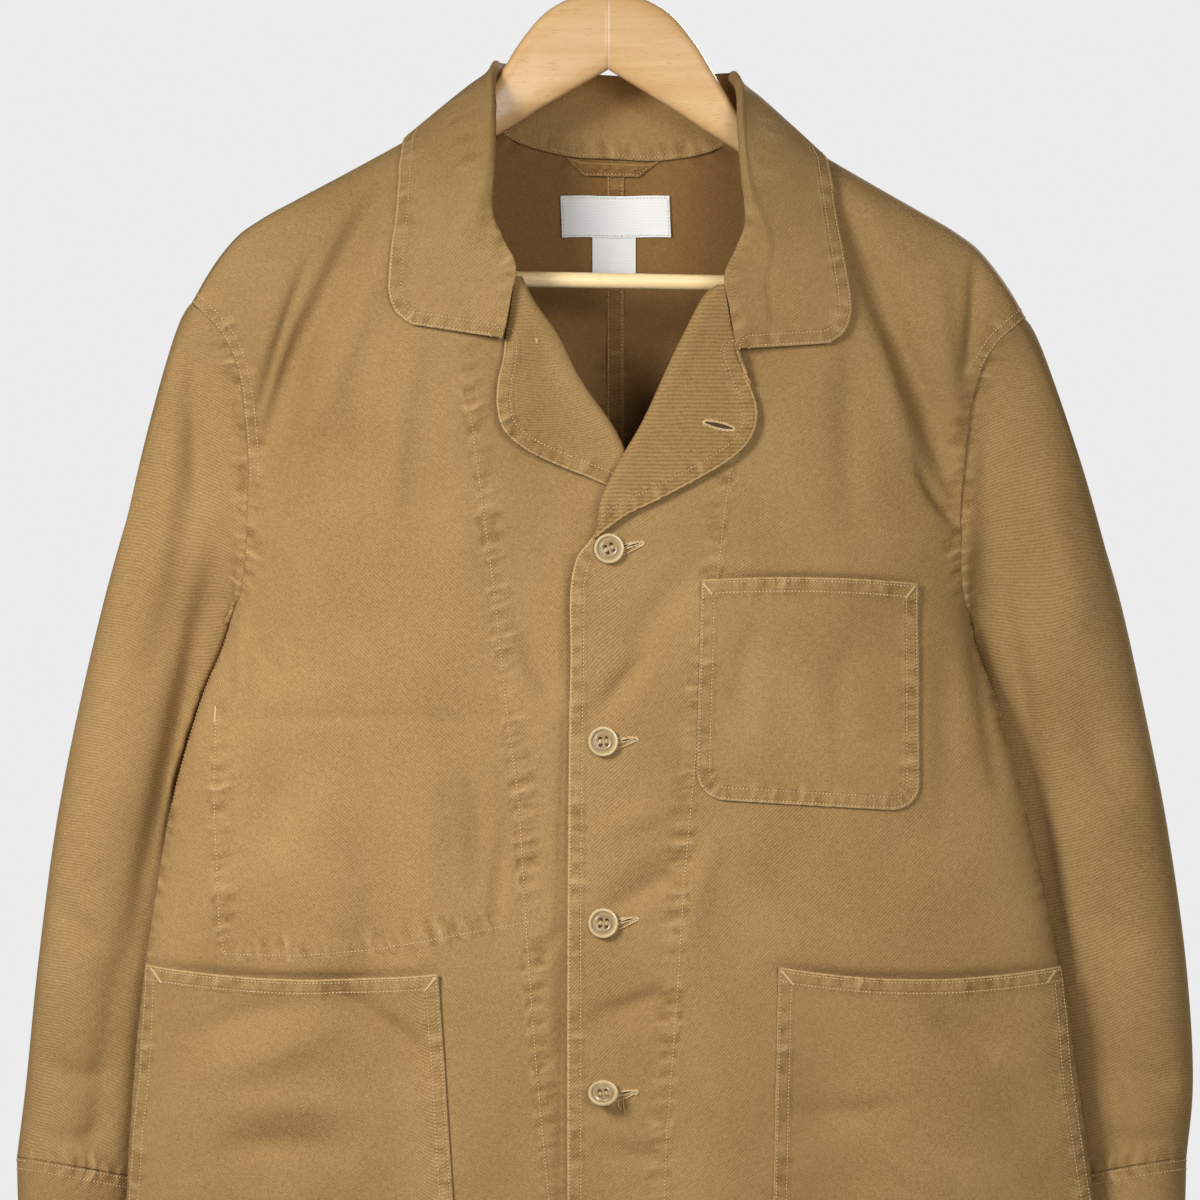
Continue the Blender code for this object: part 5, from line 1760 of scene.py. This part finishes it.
def body_back(hand, name, material, inner):
    """One half of the back, with the stitches of its hem and seams."""
    rise = np.concatenate(
        [
            [0, 0.0012],
            np.linspace(0, PIT_RISE, 110, endpoint=False)[1:],
            np.linspace(PIT_RISE, 0.997, 90),
            [1],
        ]
    )
    u = np.concatenate([[0, 0.003], np.linspace(0, 1, 76)[1:-1], [0.997, 1]])
    piece = piece_of(back_panel(hand, rise, u), flip=hand == RIGHT)
    points = piece["points"]
    armhole_edge, side_seam = points[rise >= PIT_RISE, 0], points[rise <= PIT_RISE, 0]
    place_fields(piece, [points[0]], [points[:, -1], armhole_edge, side_seam, points[-1]])
    to_centre, to_armhole, to_side, to_top = piece["sewn_to"]
    to_hem = piece["fields"]["rim"]
    rows = np.broadcast_to(rise[:, None], points.shape[:2])
    sew("jacket_topstitching", piece, to_hem, HEM_ROW)
    if hand == LEFT:
        sew("jacket_topstitching", piece, to_centre, ROWS["centre back"], (to_hem > 2) & (to_top > 1))
    for level in ROWS["armhole and shoulder"]:
        sew("jacket_topstitching", piece, to_armhole, level, rows > PIT_RISE + 0.008)
        sew("jacket_topstitching", piece, to_side, level, (rows < PIT_RISE - 0.004) & (to_hem > 2))
        sew("jacket_topstitching", piece, to_top, level, to_armhole > 1)
    obj = make(name, piece, CLOTH, material)
    # its inner faces take the darker copy of the twill, painted shade inside the jacket
    obj.data.materials.append(inner)
    obj.modifiers["wall"].material_offset = 1
    return piece


SLEEVE_TURNS = np.linspace(0, 2 * math.pi, 97)  # angles round a sleeve, the first and last at one place


def sleeve(hand, name, material):
    form = sleeve_points(narrow_ends(150, 0.003), SLEEVE_TURNS, hand)
    piece = piece_of(form, closed=True, flip=hand == RIGHT, hidden=SLEEVE_TROUGHS)
    place_fields(piece, [], [piece["points"][0], piece["points"][-1]])
    make(name, piece, CLOTH, material)


def cuff(hand, name, material):
    form = cuff_points(narrow_ends(26, 0.012), SLEEVE_TURNS, hand)
    piece = piece_of(form, closed=True, flip=hand == RIGHT)
    place_fields(piece, [piece["points"][-1]], [piece["points"][0]])
    sew("sleeve_topstitching", piece, piece["sewn_to"][0], ROWS["cuff seam"])
    sew("sleeve_topstitching", piece, piece["fields"]["rim"], CUFF_ROW)
    make(name, piece, CLOTH, material)


def collar(material):
    half = narrow_ends(112, 0.003)
    turn = np.concatenate([-half[:0:-1], half])
    piece = piece_of(respaced(collar_points(turn), 52), flip=True)
    points = piece["points"]
    # the finished edge: the ends out from the fold, and the outer edge between them
    outer = np.concatenate([points[0, 8:], points[1:-1, -1], points[-1, :7:-1]])
    place_fields(piece, [outer], [points[:, 0]])
    sew("edge_topstitching", piece, piece["fields"]["rim"], ROWS["collar"])
    standing = np.broadcast_to(np.abs(turn)[:, None] < 0.6, points.shape[:2])
    sew("edge_topstitching", piece, piece["sewn_to"][0], NECK_ROW, standing)
    make("collar", piece, DOUBLE, material)


def lapel(hand, name, material):
    piece = piece_of(respaced(lapel_points(narrow_ends(92, 0.004), hand), 48), flip=hand == LEFT)
    points = piece["points"]
    place_fields(piece, [points[:, -1]], [])
    past_fold = np.broadcast_to(np.linspace(0, 1, points.shape[1]) > 0.35, points.shape[:2])
    sew("edge_topstitching", piece, piece["fields"]["rim"], LAPEL_ROW, past_fold)
    make(name, piece, DOUBLE, material)
    return piece


MOUTH_HEM = 9.8  # how far the pocket's turned-in mouth reaches down


def pocket(name, shape, material):
    """A patch pocket on the front's face, whose mouth gapes and whose corners are rounded."""
    (x0, z0), (x1, z1) = shape["top"]
    (x2, z2), (x3, z3) = shape["bottom"]
    u, v = narrow_ends(74, 0.006)[None], narrow_ends(84, 0.005)[:, None]
    near = np.minimum(u, 1 - u) * abs(x1 - x0)
    inset = np.clip(1 - near / shape["corner"], 0, 1)
    low = mix(z2, z3, u) + shape["corner"] * (1 - np.sqrt(1 - inset**2)) * (1 - v) ** 2
    high = mix(z0, z1, u) - shape["sag"] * 4 * u * (1 - u)
    x = mix(mix(x2, x3, u), mix(x0, x1, u), v)
    z = mix(low, high, v)
    side = body("half", z) - 1.5
    x = np.clip(x, body("sway", z) - side, body("sway", z) + side)
    gape = shape["gape"] * np.sin(math.pi * u) * v**6
    mouth_hem = 0.5 * (1 - ease((high - z - MOUTH_HEM) / 2.2))
    piece = piece_of(lift(torso(x, z, FRONT), FRONT, POCKET_LIFT + gape + mouth_hem))
    points = piece["points"]
    sides = np.concatenate([points[::-1, 0], points[0, 1:-1], points[:, -1]])
    mouth = points[-1]
    place_fields(piece, [sides, mouth], [])
    to_sides, to_mouth = distance_to(points, sides), distance_to(points, mouth)
    # the outer row runs up to the mouth, and the inner one up to the mouth's hem
    for level, end in zip(ROWS["pocket sides"], (1.0, 9.0)):
        sew("pocket_topstitching", piece, to_sides, level, to_mouth > end)
    sew("pocket_topstitching", piece, to_mouth, ROWS["pocket mouth"], to_sides > 1.0)
    make(name, piece, CLOTH, material)
    return piece


def centre_fell(material):
    """The centre-back seam's felled edge inside: a narrow strip held by two rows of stitches."""
    z = np.linspace(HEM + 12, -169.5, 150)
    x = np.array([-0.6, -0.4, 1.2, 3.0, 4.8, 6.6, 8.4, 9.4, 9.6])
    grid_x, grid_z = np.meshgrid(x, z)
    points = lift(torso(grid_x, grid_z, BACK), BACK, np.full(grid_x.shape, -CLOTH - 0.95))
    piece = {**piece_of(points), "points": points}
    place_fields(piece, [np.stack([np.full(len(z), at), z], -1) for at in (x[0], x[-1])], [])
    sew("jacket_topstitching", piece, points[..., 0], ROWS["fell inside"])
    make("centre_back_fell", piece, TAPE_WALL, material, replaced=False)


# The hanging loop's upper and lower edges in the front view.
LOOP = table(
    "top_x top_z bottom_x bottom_z",
    (-25.6, -164.8, -25.2, -166.2),
    (-21, -166.6, -19.6, -171.6),
    (-15.5, -167.9, -14.8, -176),
    (-9, -168.2, -8.6, -176.4),
    (4, -168.7, 3.6, -176.6),
    (16, -169.2, 13.6, -176.8),
    (22.6, -169.4, 18.7, -176.9),
    (27.4, -168.4, 24.4, -172.6),
    (31.7, -166.4, 31.3, -168),
)


def hanging_loop(material):
    """The hanging loop: a folded tape whose ends are caught in the neck seam."""
    along = narrow_ends(60, 0.004)
    at = read(LOOP, along, np.linspace(0, 1, len(LOOP["top_x"])))
    up = narrow_ends(12, 0.03)[:, None]
    x, z = mix(at["bottom_x"], at["top_x"], up), mix(at["bottom_z"], at["top_z"], up)
    off = CLOTH + 1.0 + 2.2 * np.sin(math.pi * along) ** 2 + 0.3 * np.sin(math.pi * up)
    piece = as_piece(lift(torso(x, z, BACK), BACK, -off))
    lower, upper = piece["points"][0], piece["points"][-1]
    place_fields(piece, [lower, upper], [])
    between_ends = np.broadcast_to((along > 0.2) & (along < 0.82), x.shape)
    sew("edge_topstitching", piece, distance_to(piece["points"], lower), LOOP_ROW, between_ends)
    make("hanging_loop", piece, TAPE_WALL, material)


def sewn_label(name, shape, stitched, material):
    """A woven label on the inner face of the back, off it by some way. Its skew shifts its lower edge to
    the left."""
    share = narrow_ends(40, 0.004)
    up = narrow_ends(22, 0.008)[:, None]
    high, low = shape["z"]
    z = mix(low, high, up) + 0.25 * np.sin(share * 9)
    x = mix(*shape["x"], share) + shape["skew"] * (1 - up)
    wave = 0.22 * np.sin(share * 13 + 1) * np.cos(up * 5)
    points = lift(torso(x, z, BACK), BACK, -(CLOTH + shape["off"] + wave))
    piece = as_piece(points)
    border = np.concatenate([points[0], points[1:-1, -1], points[-1, ::-1], points[-2::-1, 0]])
    place_fields(piece, [border], [])
    if stitched:
        sew("label_topstitching", piece, piece["fields"]["rim"], LABEL_ROW)
    make(name, piece, LABEL_WALL, material)


# ---- buttons and hanger ----

# A button in section: four holes in a glossy middle, a groove, and a raised rim.
BUTTON_FORM = table(
    "out high",
    (0.0, 1.75),
    (2.4, 1.8),
    (3.7, 2.0),
    (4.4, 2.35),
    (4.8, 2.4),
    (5.2, 2.2),
    (5.6, 1.95),
    (6.4, 1.95),
    (6.9, 2.25),
    (7.3, 2.9),
    (7.8, 3.2),
    (8.4, 3.1),
    (8.85, 2.6),
    (9.0, 2.0),
    (8.75, 1.2),
    (7.9, 0.5),
    (6.2, 0.0),
    (0.0, 0.0),
)
BUTTON_HOLE, HOLE_OUT = 2.5, 1.85  # the holes' width, and how far they lie out each way


def closed_mesh(name, rings):
    """A closed mesh through rings of points, its first and last ring single points or flat ends."""
    form = bmesh.new()
    rows = [[form.verts.new(point * MM) for point in ring] for ring in rings]
    for low, high in zip(rows, rows[1:]):
        for i in range(max(len(low), len(high))):
            j = i + 1
            corners = low[i % len(low)], low[j % len(low)], high[j % len(high)], high[i % len(high)]
            form.faces.new(list(dict.fromkeys(corners)))
    for row in (rows[0], rows[-1]):
        if len(row) > 1:
            form.faces.new(row)
    bmesh.ops.recalc_face_normals(form, faces=form.faces)
    mesh = bpy.data.meshes.new(name)
    form.to_mesh(mesh)
    form.free()
    return mesh


def carved(mesh, cutter_mesh):
    """A mesh with the volume of another cut out of it."""
    obj, cutter = (linked("carving", part) for part in (mesh, cutter_mesh))
    cut = obj.modifiers.new("cut", "BOOLEAN")
    cut.object = cutter
    made = evaluated_mesh(obj)
    for part in (obj, cutter):
        bpy.data.objects.remove(part)
    return made


def solid_piece(name, made, mesh, material, sharp=35):
    """The piece in place of a solid. made says how it was made, for its own name."""
    mesh.name = name
    mesh.materials.clear()
    mesh.materials.append(material)
    mesh.shade_smooth()
    mesh.set_sharp_from_angle(angle=math.radians(sharp))
    obj = linked(f"{name}_{made}", mesh)
    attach(obj, "root")
    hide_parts(name)


def circle(radius, high, count, at=(0, 0)):
    if radius == 0:
        return np.array([[at[0], at[1], high]])
    t = turns(count)
    return stack(at[0] + radius * np.cos(t), at[1] + radius * np.sin(t), high)


def button(name, place, pitched, turned, material):
    """A four-hole button. pitched turns it about X from facing up, and turned spins it on its middle."""
    profile = closed_mesh("button", [circle(r, h, 56) for r, h in zip(*BUTTON_FORM.values())])
    for sx, sy in ((-1, -1), (-1, 1), (1, -1), (1, 1)):
        at = sx * HOLE_OUT, sy * HOLE_OUT
        hole = closed_mesh("hole", [circle(BUTTON_HOLE / 2, h, 16, at) for h in (-1, 4)])
        profile = carved(profile, hole)
    local = np.empty(len(profile.vertices) * 3)
    profile.vertices.foreach_get("co", local)
    local = local.reshape(-1, 3) / MM
    out = np.hypot(local[:, 0], local[:, 1])
    # the raised rim is painted paler from 6.7 mm out and 1.6 mm up, a painted highlight
    set_field(profile, "painted_rim_highlight", ease((out - 6.7) / 0.5) * ease((local[:, 2] - 1.6) / 0.6))
    placed = turned_to(local, place, pitched, turned)
    profile.vertices.foreach_set("co", (placed * MM).reshape(-1))
    solid_piece(name, "turned", profile, material, sharp=28)


def turned_to(local, place, pitched, turned):
    """Points about a button's middle, spun, pitched and put in place."""
    spin, tip = math.radians(turned), pitched
    x = local[..., 0] * math.cos(spin) - local[..., 1] * math.sin(spin)
    y = local[..., 0] * math.sin(spin) + local[..., 1] * math.cos(spin)
    z = local[..., 2]
    tipped = stack(x, y * math.cos(tip) - z * math.sin(tip), y * math.sin(tip) + z * math.cos(tip))
    return tipped + np.array(place)


def button_threads(*placed):
    """The threads that hold a button: two bars on its face, and its shank down to the cloth."""
    for side in (-1, 1):
        for shift in (-0.25, 0.25):
            x = side * HOLE_OUT + shift
            arch = [(x, -1.2, 0.2), (x, -1.0, 1.85), (x, 0, 2.1), (x, 1.0, 1.85), (x, 1.2, 0.2)]
            lay("button_thread", turned_to(np.array(arch), *placed))
    for turn in turns(8):
        top = np.array([0.5 * math.cos(turn), 0.5 * math.sin(turn), 0.1])
        foot = np.array([0.7 * math.cos(turn + 1), 0.7 * math.sin(turn + 1), -1.6])
        lay("button_thread", turned_to(np.array([top, foot]), *placed))


def bar_ring(x, radius):
    """A circle round the dowel's middle line."""
    depth = float(hanger_line(np.array(BAR_HALF)))
    t = turns(40)
    return stack(x, depth + radius * np.cos(t), BAR_LEVEL - LEAN * x + radius * np.sin(t))


def hanger_arms(wood):
    """Two bent arms, joined in the middle, with sockets for the dowel."""
    along = np.concatenate([[0, 0.004], np.linspace(0, 1, 92)[1:-1], [0.995, 1]])
    at = read(ARM, along, np.linspace(0, 1, len(ARM["out"])))
    at["out"][0] = JOINT_GAP
    angles = turns(40)
    across, up = (np.sign(part) * np.abs(part) ** 0.62 for part in (np.cos(angles), np.sin(angles)))
    for hand, side in ((LEFT, "left"), (RIGHT, "right")):
        rings = []
        for number, (out, top, bottom, deep) in enumerate(zip(*at.values())):
            shrunk = JOINT_BEVEL if number == 0 else 0
            x = hand * out
            half, middle = (top - bottom) / 2 - shrunk, (top + bottom) / 2 - LEAN * x
            rings.append(stack(x, hanger_line(x) + (deep - shrunk) * across, middle + half * up))
        arm = closed_mesh("arm", rings)
        ends = hand * (BAR_HALF - SOCKET_DEEP), hand * (BAR_HALF + 0.3)
        bore = closed_mesh("bore", [bar_ring(x, BAR_DIAMETER / 2 + SOCKET_CLEAR) for x in ends])
        solid_piece(f"hanger_arm_{side}", "wood", carved(arm, bore), wood)


def hanger_dowel(wood):
    """The dowel bar, its ends chamfered."""
    radius = BAR_DIAMETER / 2
    ends = (-BAR_HALF, -BAR_HALF + BAR_CHAMFER, BAR_HALF - BAR_CHAMFER, BAR_HALF)
    sizes = (radius - BAR_CHAMFER, radius, radius, radius - BAR_CHAMFER)
    dowel = closed_mesh("dowel", [bar_ring(x, size) for x, size in zip(ends, sizes)])
    solid_piece("hanger_bar", "dowel", dowel, wood)


def hanger_hook(wire):
    """The wire hook, from its stem in the wood over the rail to its rounded tip."""
    radius = HOOK_INNER + HOOK_WIRE / 2
    turn = np.radians(np.linspace(215, -42, 70))
    crown = np.stack([radius * np.cos(turn), radius * np.sin(turn) - HOOK_INNER], -1)
    stem = [(x, HOOK_STEM + up) for x, up in ((0, 0), (0, 6), (0, 12), (-1.5, 18), (-6, 26))]
    route = np.concatenate([stem, crown])
    steps = np.concatenate([[0], np.cumsum(np.linalg.norm(np.diff(route, axis=0), axis=1))])
    places = np.linspace(0, steps[-1], 120)
    x, z = follow(places, steps, route[:, 0]), follow(places, steps, route[:, 1])
    middle = stack(x, HANGER_BACK * ease((-z - 30) / 35), z)
    run = unit(np.gradient(middle, axis=0))
    side = unit(np.cross(run, np.array([0, 1, 0])))
    over = np.cross(run, side)
    t = turns(20)[:, None]
    size = np.full(len(x), HOOK_WIRE / 2)
    size[-3:] = HOOK_WIRE / 2 * np.array([0.97, 0.8, 0.35])
    rings = [m + r * (np.cos(t) * a + np.sin(t) * b) for m, a, b, r in zip(middle, side, over, size)]
    solid_piece("hanger_hook", "wire", closed_mesh("hook", rings), wire)


# Bartacks at the pockets' corners and the inner pocket's upper end, over pieces of the front.
BARTACKS = (
    ("chest_pocket", 56.5, -423.5, 61.5, -429.5),
    ("chest_pocket", 182.5, -424.5, 177, -431.5),
    ("pocket_right", -273, -653, -266.5, -661.5),
    ("pocket_right", -102.5, -657, -109.5, -665.5),
    ("pocket_left", 103, -653.5, 110, -661.5),
    ("pocket_left", 267, -654.5, 262, -661.5),
    ("front_right", -234.3, -496.5, -234.8, -506),
)


def fasten(front, button_resin, slit):
    """The four front buttons, each with its thread, its buttonhole and the thread that has come loose."""
    for number, (x, z, off, tilt, turned, slant) in enumerate(zip(*BUTTONS.values()), 1):
        place = float(x), float(torso_y(x, z, FRONT)) - off, float(z)
        placed = place, math.pi / 2 - math.radians(tilt), turned
        button(f"button_{number}", *placed, button_resin)
        button_threads(*placed)
        slant = math.radians(slant)
        hole_x, hole_z = x + HOLE_MIDDLE * math.cos(slant), z + HOLE_MIDDLE * math.sin(slant)
        name = f"buttonhole_{number}"
        buttonhole(front, hole_x, hole_z, HOLE_LENGTH, slant, HOLE_GAPE, slit, name, number)
        start = x + LOOPS_FROM[0], z + LOOPS_FROM[1]
        worn_loops(front, *start, x + LOOPS_TO, z + LOOPS_TO * math.sin(slant), number)


def main():
    make_camera()
    studio()
    dyed = twill("washed tan twill", "#785728", "#b49363")
    ribbed_facing = twill("tan twill facing, ribbed", "#715124", "#ad8c5c", ribbed=True, seed=3.0)
    # a darker copy of the twill, painted shade for the dim hollow inside the jacket: on the back's inner
    # faces, the centre-back fell and the hanging loop
    inner = twill("tan twill inner side, painted shade", "#6f4c24", "#a17b4a", seed=6.0)
    tan_thread = thread("tan polyester thread", "#bd9d6c", "#d6ba8d")
    white_thread = thread("white polyester thread", "#cfcdc6", "#e4e3df")
    wood = beech("lacquered beech", "#dbab70", "#b07f43", "#e5bd85")
    bar_wood = beech("lacquered beech dowel", "#fbd898", "#cfa261", "#ffe4b0")
    button_resin = resin()
    label_cloth = satin()
    slit = shaded_slit()

    body = {}
    for hand, side in ((LEFT, "left"), (RIGHT, "right")):
        body[f"front_{side}"] = body_front(hand, f"front_{side}", dyed)
        body[f"back_{side}"] = body_back(hand, f"back_{side}", dyed, inner)
        sleeve(hand, f"sleeve_{side}", dyed)
        cuff(hand, f"cuff_{side}", dyed)
    collar(dyed)
    body["lapel_left"] = lapel(LEFT, "lapel_left", ribbed_facing)
    body["lapel_right"] = lapel(RIGHT, "lapel_right", dyed)
    for name, shape in POCKETS.items():
        body[name] = pocket(name, shape, dyed)
    # the fell and the loop inside the back take the darker twill, painted shade
    centre_fell(inner)
    hanging_loop(inner)
    sewn_label("care_label", CARE_LABEL, False, label_cloth)
    sewn_label("neck_label", LABEL, True, label_cloth)
    hanger_arms(wood)
    hanger_dowel(bar_wood)
    hanger_hook(plated_wire())

    fasten(body["front_left"], button_resin, slit)
    x, z = NECK_BUTTON["x"], NECK_BUTTON["z"]
    place = x, float(torso_y(x, z, FRONT) + lap(x, z)) - NECK_BUTTON["lift"], z
    button("button_neck", place, -math.pi / 2, 10, button_resin)
    buttonhole(body["lapel_left"], *NECK_HOLE, slit, "buttonhole_neck", 9)
    neck_button_mark(body["lapel_right"], *NECK_MARK)
    for name, *ends in BARTACKS:
        bartack(body[name], *ends)
    stitches, threads = stitch_row_tree(), laid_thread_tree()
    sizes = {"Pitch": PITCH * MM, "Stitch length": STITCH * MM, "Thread": THREAD * MM}
    for name, lines in SEWN.items():
        used = white_thread if name == "label_topstitching" else tan_thread
        sewn(name, lines, stitches, {**sizes, "Finish": used})
    for name, lines in LAID.items():
        sewn(name, lines, threads, {"Thread": LOOSE_THREAD * MM, "Finish": tan_thread})


main()
